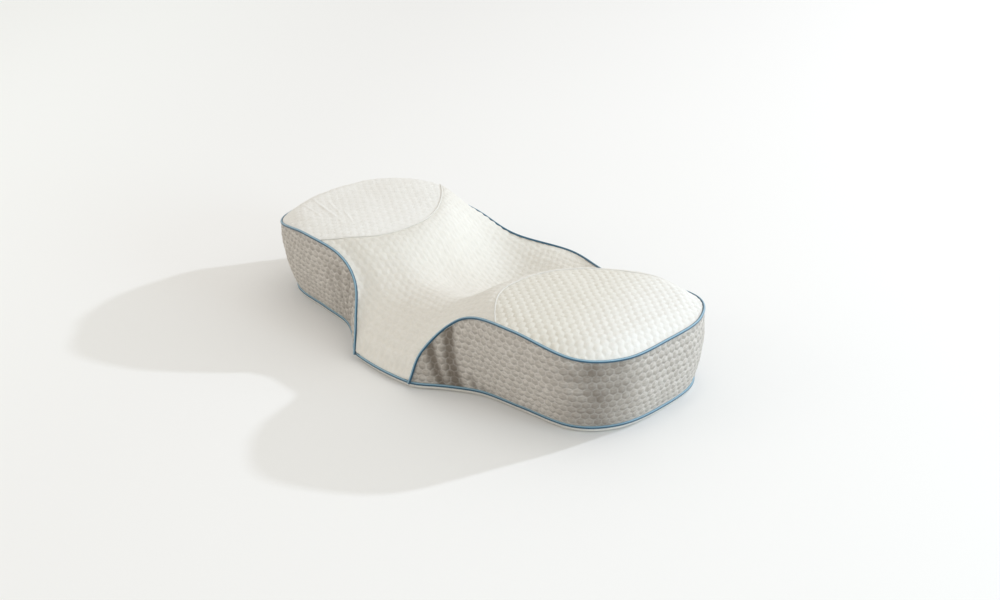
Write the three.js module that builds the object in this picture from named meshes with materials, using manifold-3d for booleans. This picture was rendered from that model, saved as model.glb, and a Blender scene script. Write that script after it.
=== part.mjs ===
// Butterfly-shaped contour neck pillow: a moulded memory-foam core in a knitted liner, inside a removable
// cover of two knit pads, a knit centre, a grey side strip, blue piping and a zipped underside.
// Millimetres. Origin: middle of the resting face. +X to the right-hand wing, +Y to the back edge, +Z up.
import * as THREE from "three";
import { mergeVertices } from "three/addons/utils/BufferGeometryUtils.js";
import Module from "manifold-3d";

const wasm = await Module();
wasm.setup();

// ---------------------------------------------------------------- driving dimensions
const COVER_THICK = 2.2; // outer cover, quilted knit
const LINER_THICK = 0.8; // knitted liner round the foam
const GAP = 0.3; // between two pieces that touch
const SOFT_GAP = 0.5; // between the layers of cover, liner and foam
const SEAM_HEIGHT = 8; // lower piping above the resting face
const PIPING_RADIUS = 1.8;
const PIPING_INSET = 0.6; // how far the piping's middle lies inside the cover's edge
const GUSSET_BULGE = 6; // how far the side strip swells at half height
const EDGE_ROLL = 30; // width of the rounded rim of the top, where the side is
const FULL_SIDE = 60; // this high or higher; a lower side has a narrower roll
const LEAST_ROLL = 0.3;
const LEAST_FACING = 0.4; // limit on how slantwise a line to the spine counts as leaving the seam

// Depth of each nested body's skin below the cover's outside
const LINER_INSET = COVER_THICK + SOFT_GAP;
const CORE_INSET = LINER_INSET + LINER_THICK + SOFT_GAP;

// The right half's two seams, from the tongue's corner round the wing to the middle of the back:
// [x, y, z] of the upper seam and [x, y] of the lower one.
const SEAM_STATIONS = [
  { upper: [51, -169, 11], lower: [50, -167] }, // tongue corner
  { upper: [60, -158, 48], lower: [61, -161] }, // tongue side
  { upper: [84, -138, 84], lower: [88, -141] }, // neck shoulder
  { upper: [122, -132, 107], lower: [126, -121] }, // inner wing front
  { upper: [188, -134, 115], lower: [180, -113] }, // wing front
  { upper: [262, -115, 102], lower: [250, -102] }, // front corner
  { upper: [295, -66, 97], lower: [285, -62] },
  { upper: [300, 0, 99], lower: [292, 0] }, // wing end
  { upper: [290, 66, 98], lower: [280, 72] },
  { upper: [246, 116, 93], lower: [230, 112] }, // back corner
  { upper: [155, 127, 83], lower: [150, 114] }, // waist
  { upper: [86, 136, 65], lower: [90, 121] },
  { upper: [0, 158, 60], lower: [0, 145] }, // middle of the back
];
const WING_END = 7; // number of the station at the tip of the wing
const TONGUE_HALF = SEAM_STATIONS[0].lower[0];
const TONGUE_FRONT = SEAM_STATIONS[0].lower[1];
const TONGUE_BOW = 4; // the tongue's front edge bows out by this

// Height of the top along the centre line, [y, z]: tongue, neck roll, head hollow, back rim
const CENTRE_PROFILE = [
  [-172, 8],
  [-162, 28],
  [-148, 47],
  [-125, 64],
  [-99, 75],
  [-77, 79],
  [-51, 71],
  [-20, 55],
  [20, 42],
  [58, 37],
  [86, 38],
  [108, 45],
  [126, 53],
  [142, 57],
  [158, 60],
];
// Inner edge of the wing's pad, [y, x]
const PAD_EDGE = [
  [-138, 165],
  [-112, 137],
  [-80, 113],
  [-40, 105],
  [0, 110],
  [40, 130],
  [80, 167],
  [110, 206],
  [134, 245],
];
const WING_TOP = { height: 122, x: 165, y: -50, fallX: 13, fallY: 13, reachX: 130, reachY: 150 };
const HOLLOW_START = 0.14; // share of the way to the pad edge where the side of the hollow starts to climb

// Underside: how the cover rolls under from the lower seam, [inwards, height]
const UNDER_ROLL = [
  [0.3, SEAM_HEIGHT - PIPING_RADIUS - GAP - 0.3],
  [2.4, 1.3],
  [8, 0],
];

// Zip, straight along X across the underside, behind its middle
const ZIP_Y = 35;
const ZIP_CLOSED_X = 200; // the coil's end at the stop where the slider is when the zip is shut
const ZIP_OPEN_X = -183; // and at the other stop
const TAPE_REACH = 203; // the tapes run on past the open end, as a zip's do
const SLOT_HALF = 8; // half width of the gap between the two bottom panels along the zip
const TAPE_HALF = 20;
const TAPE_THICK = 0.7;
const TAPE_HEM_Z = COVER_THICK + GAP; // the tape lies on the panel's hem
const TAPE_COIL_Z = 4.4; // and rises to the coil
const COIL = { half: 3, gap: 0.5, low: 3.4, high: 5.8 };
const SLIDER = { length: 13, half: 5, plate: 1.2, web: 0.5, flange: 0.9 };
const BRIDGE = { length: 7, width: 1.6, low: 0.15, bar: 0.5, leg: 1 };
const TAB = { length: 26, half: 3.2, thick: 0.6, middle: 1.3, bar: 1, round: 2.4, taper: 0.8 };
const STOP_LENGTH = 3;
const CHANNEL = { half: TAPE_HALF + 3, end: 9, depth: 9.5 }; // hollow pressed into the foam above the zip

// Sampling of the seams, and of the rings between the rim and the spine
const TONGUE_STEPS = 2;
const FRONT_STEPS = 14;
const BACK_STEPS = TONGUE_STEPS + FRONT_STEPS;
const PIPING_MARGIN = PIPING_INSET + PIPING_RADIUS + 2.5 * GAP; // the cover's panels stop this far from the rim
const TOP_INSETS = [9, 20]; // rings this far in from the rim
const TOP_SHARES = [0.36, 0.62]; // rings this share of the way from the rim to the spine
const SIDE_SHARES = [0.3, 0.65];
const SPINE_SHARE = 0.78; // length of the spine over the length of the pillow
const SPINE_Y = -5;

// ---------------------------------------------------------------- materials
const MATERIALS = {
  whiteKnit: { color: 0xf1ede4, roughness: 0.92 },
  padKnit: { color: 0xf3f1ec, roughness: 0.9 },
  greyKnit: { color: 0xa8a39b, roughness: 0.93 },
  bluePiping: { color: 0x2f7fb2, roughness: 0.7 },
  bottomKnit: { color: 0xefece6, roughness: 0.94 },
  liner: { color: 0xf6f5f1, roughness: 0.95 },
  foam: { color: 0xf2e9cf, roughness: 0.97 },
  zipTape: { color: 0xe9e7e1, roughness: 0.9 },
  zipCoil: { color: 0xdddbd5, roughness: 0.45 },
  zipMetal: { color: 0xb9bcc0, roughness: 0.35, metalness: 0.9 },
};

function material(name) {
  return new THREE.MeshStandardMaterial({ metalness: 0, ...MATERIALS[name] });
}

// ---------------------------------------------------------------- small helpers
function smoothStep(t) {
  const s = Math.min(1, Math.max(0, t));
  return s * s * (3 - 2 * s);
}

// Smooth curve through [position, value] pairs, straight beyond its ends
function curveThrough(pairs) {
  const slope = pairs.map((_, i) => {
    const before = pairs[Math.max(0, i - 1)];
    const here = pairs[i];
    const after = pairs[Math.min(pairs.length - 1, i + 1)];
    if (before === here) return (after[1] - here[1]) / (after[0] - here[0]);
    if (after === here) return (here[1] - before[1]) / (here[0] - before[0]);
    const back = (here[1] - before[1]) / (here[0] - before[0]);
    const ahead = (after[1] - here[1]) / (after[0] - here[0]);
    const share = (after[0] - here[0]) / (after[0] - before[0]);
    return back * share + ahead * (1 - share);
  });
  return (q) => {
    const last = pairs.length - 1;
    if (q <= pairs[0][0]) return pairs[0][1] + slope[0] * (q - pairs[0][0]);
    if (q >= pairs[last][0]) return pairs[last][1] + slope[last] * (q - pairs[last][0]);
    const i = pairs.findIndex((p, k) => k < last && q <= pairs[k + 1][0]);
    const width = pairs[i + 1][0] - pairs[i][0];
    const t = (q - pairs[i][0]) / width;
    const rise = 3 * t * t - 2 * t * t * t;
    return (
      (1 - rise) * pairs[i][1] +
      rise * pairs[i + 1][1] +
      (t * t * t - 2 * t * t + t) * width * slope[i] +
      (t * t * t - t * t) * width * slope[i + 1]
    );
  };
}

function solidFrom(geometry) {
  const plain = geometry.clone();
  plain.deleteAttribute("normal");
  plain.deleteAttribute("uv");
  const merged = mergeVertices(plain, 1e-4);
  return new wasm.Manifold(
    new wasm.Mesh({
      numProp: 3,
      vertProperties: merged.attributes.position.array,
      triVerts: new Uint32Array(merged.index.array),
    }),
  );
}

function geometryFrom(solid) {
  const mesh = solid.getMesh();
  const geometry = new THREE.BufferGeometry();
  geometry.setAttribute("position", new THREE.BufferAttribute(new Float32Array(mesh.vertProperties), 3));
  geometry.setIndex(Array.from(mesh.triVerts));
  return geometry;
}

function geometryOf(points, triangles) {
  const geometry = new THREE.BufferGeometry();
  geometry.setAttribute("position", new THREE.Float32BufferAttribute(points.flat(), 3));
  geometry.setIndex(triangles.flat());
  return geometry;
}

function box(x0, x1, y0, y1, z0, z1) {
  const geometry = new THREE.BoxGeometry(x1 - x0, y1 - y0, z1 - z0);
  return geometry.translate((x0 + x1) / 2, (y0 + y1) / 2, (z0 + z1) / 2);
}

// A profile of [y, z] points run along X
function along(profile, x0, x1) {
  const shape = new THREE.Shape(profile.map(([y, z]) => new THREE.Vector2(y, z)));
  const geometry = new THREE.ExtrudeGeometry(shape, { depth: x1 - x0, bevelEnabled: false });
  const toRow = new THREE.Matrix4().makeBasis(
    new THREE.Vector3(0, 1, 0),
    new THREE.Vector3(0, 0, 1),
    new THREE.Vector3(1, 0, 0),
  );
  return geometry.applyMatrix4(toRow).translate(x0, 0, 0);
}

// ---------------------------------------------------------------- the pillow's seams
function mirrored(half) {
  const left = half.slice(0, -1).reverse();
  return [...half, ...left.map(([x, ...rest]) => [-x, ...rest])];
}

// Point at a station number, fractions included, on a smooth line through the stations
function stationCurve(stations) {
  const last = stations.length - 1;
  const at = (k) => {
    if (k < 0) return stations[0].map((v, c) => 2 * v - stations[1][c]);
    if (k > last) return stations[last].map((v, c) => 2 * v - stations[last - 1][c]);
    return stations[k];
  };
  return (t) => {
    const i = Math.min(last - 1, Math.max(0, Math.floor(t)));
    const f = t - i;
    const [a, b, c, d] = [at(i - 1), at(i), at(i + 1), at(i + 2)];
    return b.map(
      (_, n) =>
        0.5 *
        (2 * b[n] +
          (c[n] - a[n]) * f +
          (2 * a[n] - 5 * b[n] + 4 * c[n] - d[n]) * f * f +
          (3 * b[n] - a[n] - 3 * c[n] + d[n]) * f * f * f),
    );
  };
}

const upperSeamAt = stationCurve(mirrored(SEAM_STATIONS.map((s) => s.upper)));
const lowerSeamAt = stationCurve(mirrored(SEAM_STATIONS.map((s) => [...s.lower, SEAM_HEIGHT])));
const LAST_STATION = 2 * (SEAM_STATIONS.length - 1);

// Station numbers from the right tongue corner round to the left one
function seamSamples() {
  const half = [];
  for (let k = 0; k <= FRONT_STEPS; k += 1) half.push((WING_END * k) / FRONT_STEPS);
  const rest = SEAM_STATIONS.length - 1 - WING_END;
  for (let k = 1; k <= BACK_STEPS; k += 1) half.push(WING_END + (rest * k) / BACK_STEPS);
  return [...half, ...half.slice(0, -1).reverse().map((t) => LAST_STATION - t)];
}

function tongueEdge() {
  const points = [];
  for (let k = 1; k < 2 * TONGUE_STEPS; k += 1) {
    const share = k / TONGUE_STEPS - 1;
    points.push([share * TONGUE_HALF, TONGUE_FRONT - TONGUE_BOW * (1 - share * share), SEAM_HEIGHT]);
  }
  return points;
}

// Closed loops, anticlockwise from the left end of the tongue's front edge
const SEAM_SAMPLES = seamSamples();
const TONGUE_POINTS = tongueEdge();
const LOWER_LOOP = [...TONGUE_POINTS, ...SEAM_SAMPLES.map(lowerSeamAt)];
const UPPER_LOOP = [...TONGUE_POINTS, ...SEAM_SAMPLES.map(upperSeamAt)];
const COUNT = LOWER_LOOP.length;
const FIRST_SEAM_INDEX = TONGUE_POINTS.length;

// Outward direction in plan at each point of a loop
function outward(loop) {
  return loop.map((_, i) => {
    const before = loop[(i + COUNT - 1) % COUNT];
    const after = loop[(i + 1) % COUNT];
    const length = Math.hypot(after[0] - before[0], after[1] - before[1]);
    return [(after[1] - before[1]) / length, (before[0] - after[0]) / length];
  });
}
// How much longer the upper seam is than its plan, at each point
const UPPER_TILT = UPPER_LOOP.map((_, i) => {
  const before = UPPER_LOOP[(i + COUNT - 1) % COUNT];
  const after = UPPER_LOOP[(i + 1) % COUNT];
  const plan = Math.hypot(after[0] - before[0], after[1] - before[1]);
  return Math.hypot(plan, after[2] - before[2]) / plan;
});
const UPPER_OUT = outward(UPPER_LOOP);
const LOWER_OUT = outward(LOWER_LOOP);

function moved(point, direction, distance, height = point[2]) {
  return [point[0] + direction[0] * distance, point[1] + direction[1] * distance, height];
}

// ---------------------------------------------------------------- the shape of the top
const centreHeight = curveThrough(CENTRE_PROFILE);
const padEdge = curveThrough(PAD_EDGE);

function topHeight(x, y) {
  const { height, x: wx, y: wy, fallX, fallY, reachX, reachY } = WING_TOP;
  const wing = height - fallY * ((y - wy) / reachY) ** 2 - fallX * ((Math.abs(x) - wx) / reachX) ** 2;
  const centre = centreHeight(y);
  const share = (Math.abs(x) / padEdge(y) - HOLLOW_START) / (1 - HOLLOW_START);
  return centre + (wing - centre) * smoothStep(share);
}

// Point of the spine that loop point i runs to; the front and the back of the loop share it
function spineX(i) {
  const middle = TONGUE_STEPS - 1; // loop point at the middle of the tongue's front edge
  const step = (i - middle + COUNT) % COUNT;
  const fromMiddle = step <= COUNT / 2 ? step : COUNT - step;
  const side = step <= COUNT / 2 ? 1 : -1;
  const quarter = COUNT / 4;
  const share = fromMiddle <= quarter ? fromMiddle / quarter : 2 - fromMiddle / quarter;
  return side * share * SPINE_SHARE * UPPER_LOOP[middle + quarter][0];
}

// Rings of points over the whole outside: from the top's spine over the rim, down the side and under to the
// underside's spine. `at` holds the number of each ring that a piece starts or stops at.
function outsideRings() {
  const rim = UPPER_LOOP.map((p) => [p[0], p[1], Math.max(p[2], SEAM_HEIGHT + 1.5)]);
  const foot = LOWER_LOOP;
  // Moves a ring point towards the spine, by a share of the way or until it is `inset` from the seam
  const inwards = (ring, i, inset, share) => {
    const p = ring[i];
    const [dx, dy] = [spineX(i) - p[0], SPINE_Y - p[1]];
    const perpendicular = -(dx * UPPER_OUT[i][0] + dy * UPPER_OUT[i][1]);
    const reach = Math.max(perpendicular, LEAST_FACING * Math.hypot(dx, dy));
    const way = Math.max(share, inset / reach);
    return { x: p[0] + dx * way, y: p[1] + dy * way, fromSeam: reach * way };
  };
  const topAt = (inset, share) =>
    rim.map((p, i) => {
      const { x, y, fromSeam } = inwards(rim, i, inset, share);
      const width = EDGE_ROLL * Math.min(1, Math.max(LEAST_ROLL, (p[2] - SEAM_HEIGHT) / FULL_SIDE));
      const roll = Math.min(1, fromSeam / width);
      const rise = Math.sin((roll * Math.PI) / 2) ** 0.8;
      return [x, y, p[2] + (topHeight(x, y) - p[2]) * rise];
    });
  const sideAt = (fromTop, fromFoot, share) =>
    rim.map((p, i) => {
      const q = foot[i];
      const height = p[2] - q[2];
      const start = (fromTop * UPPER_TILT[i]) / height;
      const end = 1 - fromFoot / height;
      const bounded = start > end ? 0.5 : Math.min(end, Math.max(share, start));
      const swell = (GUSSET_BULGE * Math.sin(Math.PI * bounded) * height) / 100;
      const x = p[0] + (q[0] - p[0]) * bounded;
      const y = p[1] + (q[1] - p[1]) * bounded;
      return moved([x, y, p[2] - height * bounded], UPPER_OUT[i], swell);
    });
  const underAt = ([inset, height]) => foot.map((p, i) => moved(p, LOWER_OUT[i], -inset, height));
  const flat = underAt(UNDER_ROLL[UNDER_ROLL.length - 1]);
  const margin = PIPING_MARGIN;
  return [
    topAt(0, 1),
    ...[...TOP_SHARES].reverse().map((share) => topAt(0, share)),
    ...[...TOP_INSETS].reverse().map((inset) => topAt(inset, 0)),
    topAt(margin, 0),
    rim,
    sideAt(margin, margin, 0),
    ...SIDE_SHARES.map((share) => sideAt(margin, margin, share)),
    sideAt(margin, margin, 1),
    foot,
    ...UNDER_ROLL.map(underAt),
    flat.map((p, i) => [spineX(i), SPINE_Y, p[2]]),
  ];
}
const OUTSIDE = outsideRings();
const RINGS = { topEdge: TOP_SHARES.length + TOP_INSETS.length + 1 };
RINGS.rim = RINGS.topEdge + 1;
RINGS.sideStart = RINGS.rim + 1;
RINGS.sideEnd = RINGS.sideStart + SIDE_SHARES.length + 1;
RINGS.foot = RINGS.sideEnd + 1;
RINGS.last = OUTSIDE.length - 1;

// Quads between successive rings that wind from above downwards, seen from outside
function ringFaces(rings, start, count = COUNT, closed = true) {
  const faces = [];
  const columns = closed ? count : count - 1;
  for (let k = 0; k + 1 < rings; k += 1) {
    for (let i = 0; i < columns; i += 1) {
      const a = start + k * count + i;
      const b = start + k * count + ((i + 1) % count);
      faces.push([a, a + count, b], [b, a + count, b + count]);
    }
  }
  return faces;
}

// How far each ring point moves for a skin one millimetre further out: its normal, lengthened at an edge so
// that the faces beside it move a full millimetre. Points in one place share theirs.
const LONGEST_MITRE = 1.7;
function ringSteps(rings) {
  const points = rings.flat();
  const key = (p) => p.map((v) => v.toFixed(3)).join();
  const faces = ringFaces(rings.length, 0).map((face) => {
    const [a, b, c] = face.map((k) => new THREE.Vector3(...points[k]));
    return { face, normal: b.clone().sub(a).cross(c.clone().sub(a)) };
  });
  const sums = new Map(points.map((p) => [key(p), new THREE.Vector3()]));
  for (const { face, normal } of faces) {
    for (const k of face) sums.get(key(points[k])).add(normal);
  }
  const steepest = new Map();
  for (const sum of sums.values()) sum.normalize();
  for (const { face, normal } of faces) {
    if (normal.length() < 1e-6) continue;
    for (const k of face) {
      const name = key(points[k]);
      const cosine = sums.get(name).dot(normal) / normal.length();
      steepest.set(name, Math.min(steepest.get(name) ?? 1, cosine));
    }
  }
  for (const [name, sum] of sums) {
    sum.multiplyScalar(Math.min(LONGEST_MITRE, 1 / Math.max(0.1, steepest.get(name) ?? 1)));
  }
  return rings.map((ring) => ring.map((p) => sums.get(key(p))));
}
const STEPS = ringSteps(OUTSIDE);

// The outside's rings moved `depth` inwards. Where the tongue thins out to its front edge, the rim and the foot
// would pass each other, and stay a hair's breadth apart.
const THIN_EDGE = 0.6;
function ringsAt(depth) {
  const rings = OUTSIDE.map((ring, k) =>
    ring.map((p, i) => {
      const step = STEPS[k][i];
      return [p[0] - step.x * depth, p[1] - step.y * depth, p[2] - step.z * depth];
    }),
  );
  const [rim, foot] = [rings[RINGS.rim], rings[RINGS.foot]];
  rim.forEach((p, i) => {
    if (p[2] - foot[i][2] >= THIN_EDGE) return;
    const middle = (p[2] + foot[i][2]) / 2;
    for (let k = RINGS.rim; k <= RINGS.foot; k += 1) {
      const share = (k - RINGS.rim) / (RINGS.foot - RINGS.rim);
      rings[k][i] = [foot[i][0], foot[i][1], middle + THIN_EDGE * (0.5 - share)];
    }
  });
  return rings;
}

function cleaned(geometry) {
  return geometryFrom(solidFrom(geometry));
}

// Whole body inside one skin
function bodySolid(rings) {
  return solidFrom(geometryOf(rings.flat(), ringFaces(rings.length, 0)));
}

// Body `depth` below the cover's outside, without the rings that only bound the cover's panels. At the tongue's
// sharp corners it would cut through the skin round it, and is kept within that.
function innerSolid(depth, around) {
  const spare = [RINGS.topEdge, RINGS.sideStart, RINGS.sideEnd, RINGS.foot + 1];
  return bodySolid(ringsAt(depth).filter((_, k) => !spare.includes(k))).intersect(around);
}

// Closed sheet between two stacks of rings with the same layout. `ends` says which of the first and the last
// ring is open and takes a wall; a ring that folds onto the spine closes by itself.
function sheetBetween(outer, inner, closed, ends) {
  const count = outer[0].length;
  const offset = outer.length * count;
  const points = [...outer.flat(), ...inner.flat()];
  const outside = ringFaces(outer.length, 0, count, closed);
  const inside = ringFaces(outer.length, offset, count, closed).map(([a, b, c]) => [a, c, b]);
  const faces = [...outside, ...inside];
  const wall = (a, b) => faces.push([a, b, a + offset], [b, b + offset, a + offset]);
  const lastRing = (outer.length - 1) * count;
  const columns = closed ? count : count - 1;
  for (let i = 0; i < columns; i += 1) {
    const next = (i + 1) % count;
    if (ends.first) wall(i, next);
    if (ends.last) wall(lastRing + next, lastRing + i);
  }
  if (!closed) {
    for (let k = 0; k + 1 < outer.length; k += 1) {
      wall((k + 1) * count, k * count);
      wall(k * count + count - 1, (k + 1) * count + count - 1);
    }
  }
  return geometryOf(points, faces);
}

// ---------------------------------------------------------------- piping
function insetLine(loop, out, from, to) {
  const points = [];
  for (let i = from; i < to; i += 1) {
    const k = i % COUNT;
    points.push(new THREE.Vector3(...moved(loop[k], out[k], -PIPING_INSET)));
  }
  return points;
}

// Polygon tube of straight lengths through the given points
function tube(points, radius, sides, closed) {
  const count = points.length;
  const rings = points.map((p, i) => {
    const before = points[closed ? (i + count - 1) % count : Math.max(0, i - 1)];
    const after = points[closed ? (i + 1) % count : Math.min(count - 1, i + 1)];
    const run = after.clone().sub(before).normalize();
    const flat = new THREE.Vector3(run.y, -run.x, 0).normalize();
    const upright = flat.clone().cross(run);
    return Array.from({ length: sides }, (_, s) => {
      const angle = (2 * Math.PI * s) / sides;
      const arm = flat.clone().multiplyScalar(Math.cos(angle) * radius);
      return p.clone().add(arm).addScaledVector(upright, Math.sin(angle) * radius).toArray();
    });
  });
  const faces = [];
  const links = closed ? count : count - 1;
  for (let k = 0; k < links; k += 1) {
    for (let s = 0; s < sides; s += 1) {
      const a = k * sides + s;
      const b = k * sides + ((s + 1) % sides);
      const c = ((k + 1) % count) * sides + s;
      const d = ((k + 1) % count) * sides + ((s + 1) % sides);
      faces.push([a, c, b], [b, c, d]);
    }
  }
  const ends = closed ? [] : [0, (count - 1) * sides];
  ends.forEach((first, n) => {
    for (let s = 1; s + 1 < sides; s += 1) {
      faces.push(n === 0 ? [first, first + s, first + s + 1] : [first, first + s + 1, first + s]);
    }
  });
  return geometryOf(rings.flat(), faces);
}

const UPPER_LINE = insetLine(UPPER_LOOP, UPPER_OUT, FIRST_SEAM_INDEX, COUNT);
const LOWER_LINE = insetLine(LOWER_LOOP, LOWER_OUT, 0, COUNT);
const PIPING_SIDES = 6;

// The upper piping's ends stop short of the lower piping that they run into
function upperPiping() {
  const line = UPPER_LINE.slice();
  const last = line.length - 1;
  const room = 2 * PIPING_RADIUS + 2 * GAP;
  const shortened = (end, next) => {
    const run = next.clone().sub(end);
    return end.clone().addScaledVector(run.normalize(), room);
  };
  line[0] = shortened(line[0], line[1]);
  line[last] = shortened(line[last], line[last - 1]);
  return tube(line, PIPING_RADIUS, PIPING_SIDES, false);
}

function lowerPiping() {
  return tube(LOWER_LINE, PIPING_RADIUS, PIPING_SIDES, true);
}

// ---------------------------------------------------------------- cover
const PAD_STEPS = 16;
const PAD_CORD_RADIUS = 0.8;
const INSIDE = ringsAt(COVER_THICK);

// Part of the cover between two rings, all the way round
function coverBand(from, to) {
  const ends = { first: from > 0, last: to < RINGS.last };
  return solidFrom(sheetBetween(OUTSIDE.slice(from, to + 1), INSIDE.slice(from, to + 1), true, ends));
}
const topCover = coverBand(0, RINGS.topEdge);

// Plan line of the pad's inner edge, moved `shift` towards the wing's tip and run on past the rim
function padLine(side, shift) {
  const start = PAD_EDGE[0][0] - 12;
  const end = PAD_EDGE[PAD_EDGE.length - 1][0] + 12;
  return Array.from({ length: PAD_STEPS + 1 }, (_, i) => {
    const y = start + ((end - start) * i) / PAD_STEPS;
    const slope = (padEdge(y + 1) - padEdge(y - 1)) / 2;
    const length = Math.hypot(1, slope);
    return [side * (padEdge(y) + shift / length), y - (shift * slope) / length];
  });
}

// Upright prism over everything on the wing's side of that line
function padPrism(side, shift) {
  const far = 2 * SEAM_STATIONS[WING_END].upper[0];
  const line = padLine(side, shift);
  const outline = [[side * far, line[0][1]], ...line, [side * far, line[line.length - 1][1]]];
  const shape = new THREE.Shape(outline.map(([x, y]) => new THREE.Vector2(x, y)));
  return solidFrom(new THREE.ExtrudeGeometry(shape, { depth: far, bevelEnabled: false }));
}

const PAD_CLEARANCE = PAD_CORD_RADIUS + GAP;

function wingPanel(side) {
  return geometryFrom(topCover.intersect(padPrism(side, PAD_CLEARANCE)));
}

function centrePanel() {
  const cut = -PAD_CLEARANCE;
  return geometryFrom(topCover.subtract(padPrism(1, cut)).subtract(padPrism(-1, cut)));
}

// Height of the top cover at a plan point, or null off its edge
const topRings = OUTSIDE.slice(0, RINGS.topEdge + 1);
const topMesh = new THREE.Mesh(
  geometryOf(topRings.flat(), ringFaces(topRings.length, 0)),
  new THREE.MeshBasicMaterial({ side: THREE.DoubleSide }),
);
function surfaceHeight([x, y]) {
  const above = new THREE.Vector3(x, y, 2 * WING_TOP.height);
  const hit = new THREE.Raycaster(above, new THREE.Vector3(0, 0, -1)).intersectObject(topMesh)[0];
  return hit ? hit.point.z : null;
}

// Raised cord in the seam between a pad and the centre panel
function padSeamCord(side) {
  const points = padLine(side, 0)
    .map((p) => [...p, surfaceHeight(p)])
    .filter((p) => p[2] !== null)
    .map((p) => new THREE.Vector3(p[0], p[1], p[2]));
  return tube(points, PAD_CORD_RADIUS, PIPING_SIDES, false);
}

// Side strip from the tongue's corner to the middle of the back
function gusset(side) {
  const middle = FIRST_SEAM_INDEX + (SEAM_SAMPLES.length - 1) / 2;
  const from = side > 0 ? FIRST_SEAM_INDEX + 1 : middle;
  const to = side > 0 ? middle : COUNT - 2;
  const cut = (rings) =>
    rings.slice(RINGS.sideStart, RINGS.sideEnd + 1).map((ring) => ring.slice(from, to + 1));
  const strip = solidFrom(sheetBetween(cut(OUTSIDE), cut(INSIDE), false, { first: true, last: true }));
  const far = 2 * SEAM_STATIONS[WING_END].upper[0];
  const backSeam = solidFrom(box(-GAP / 2, GAP / 2, 0, far, 0, far));
  return geometryFrom(strip.subtract(backSeam));
}

const slotReach = TAPE_REACH + 2;
const slot = solidFrom(box(-slotReach, slotReach, ZIP_Y - SLOT_HALF, ZIP_Y + SLOT_HALF, -1, 2 * COVER_THICK));

function bottomPanel(side) {
  const sheet = coverBand(RINGS.foot + 1, RINGS.last);
  const far = 2 * SEAM_STATIONS[WING_END].upper[0];
  const edge = ZIP_Y + (side * GAP) / 2;
  const half = side > 0 ? box(-far, far, edge, far, -5, far) : box(-far, far, -far, edge, -5, far);
  return geometryFrom(sheet.intersect(solidFrom(half)).subtract(slot));
}

// ---------------------------------------------------------------- liner and foam
function channel(margin) {
  const reach = TAPE_REACH + CHANNEL.end + margin;
  const half = CHANNEL.half + margin;
  return solidFrom(box(-reach, reach, ZIP_Y - half, ZIP_Y + half, -1, CHANNEL.depth + margin));
}

const LINER_SEAM_Z = 28; // the liner's upper and lower halves meet here
const LINER_OUTSIDE = innerSolid(LINER_INSET, bodySolid(INSIDE));
const LINER_INSIDE = innerSolid(LINER_INSET + LINER_THICK, LINER_OUTSIDE);
function liner(upper) {
  const outside = LINER_OUTSIDE.subtract(channel(0));
  const inside = LINER_INSIDE.subtract(channel(LINER_THICK));
  const far = 2 * SEAM_STATIONS[WING_END].upper[0];
  const slab = upper
    ? box(-far, far, -far, far, LINER_SEAM_Z + GAP / 2, far)
    : box(-far, far, -far, far, -1, LINER_SEAM_Z - GAP / 2);
  return geometryFrom(outside.subtract(inside).intersect(solidFrom(slab)));
}

function foamCore() {
  return geometryFrom(innerSolid(CORE_INSET, LINER_INSIDE).subtract(channel(LINER_THICK + GAP)));
}

// ---------------------------------------------------------------- zip
function zipTape(side) {
  const at = (y, z) => [ZIP_Y + side * y, z];
  const innerEdge = COIL.half + GAP;
  const bend = SLOT_HALF - 1;
  const profile = [
    at(innerEdge, TAPE_COIL_Z),
    at(bend, TAPE_COIL_Z),
    at(bend + 5, TAPE_HEM_Z),
    at(TAPE_HALF, TAPE_HEM_Z),
    at(TAPE_HALF, TAPE_HEM_Z + TAPE_THICK),
    at(bend + 5, TAPE_HEM_Z + TAPE_THICK),
    at(bend, TAPE_COIL_Z + TAPE_THICK),
    at(innerEdge, TAPE_COIL_Z + TAPE_THICK),
  ];
  return along(profile, -TAPE_REACH, TAPE_REACH);
}

// One half of the coil: a bead with a rounded back, tapering to the line where the halves mesh
function zipCoil(side) {
  const { half, gap, low, high } = COIL;
  const middle = (low + high) / 2;
  const at = (y, z) => [ZIP_Y + side * y, z];
  const profile = [
    at(gap, low + 0.4),
    at(0.4 * half, low),
    at(0.8 * half, low),
    at(half, middle - 0.5),
    at(half, middle + 0.5),
    at(0.8 * half, high),
    at(0.4 * half, high),
    at(gap, high - 0.4),
  ];
  return along(profile, ZIP_OPEN_X, ZIP_CLOSED_X);
}

// Metal stop that begins at x and runs `way` along the zip
function zipStop(x, way) {
  const { half, low, high } = COIL;
  const start = x + way * GAP;
  const end = x + way * (STOP_LENGTH - GAP);
  return box(Math.min(start, end), Math.max(start, end), ZIP_Y - half, ZIP_Y + half, low - 0.2, high + 0.2);
}

// Slider at the closed end of the zip, clear of the stop there
const SLIDER_X = ZIP_CLOSED_X - SLIDER.length / 2 - 1;
const SLIDER_LOW = { bottom: COIL.low - GAP - SLIDER.plate, top: COIL.low - GAP };
const SLIDER_HIGH = { bottom: COIL.high + GAP, top: COIL.high + GAP + SLIDER.plate };

// Plate with its two front corners cut off, as a slider's is
function sliderPlate(low, high) {
  const { length, half } = SLIDER;
  const shape = new THREE.Shape([
    new THREE.Vector2(-length / 2, -0.7 * half),
    new THREE.Vector2(0.1 * length, -half),
    new THREE.Vector2(length / 2, -half),
    new THREE.Vector2(length / 2, half),
    new THREE.Vector2(0.1 * length, half),
    new THREE.Vector2(-length / 2, 0.7 * half),
  ]);
  const geometry = new THREE.ExtrudeGeometry(shape, { depth: high - low, bevelEnabled: false });
  return solidFrom(geometry.translate(SLIDER_X, ZIP_Y, low));
}

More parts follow.
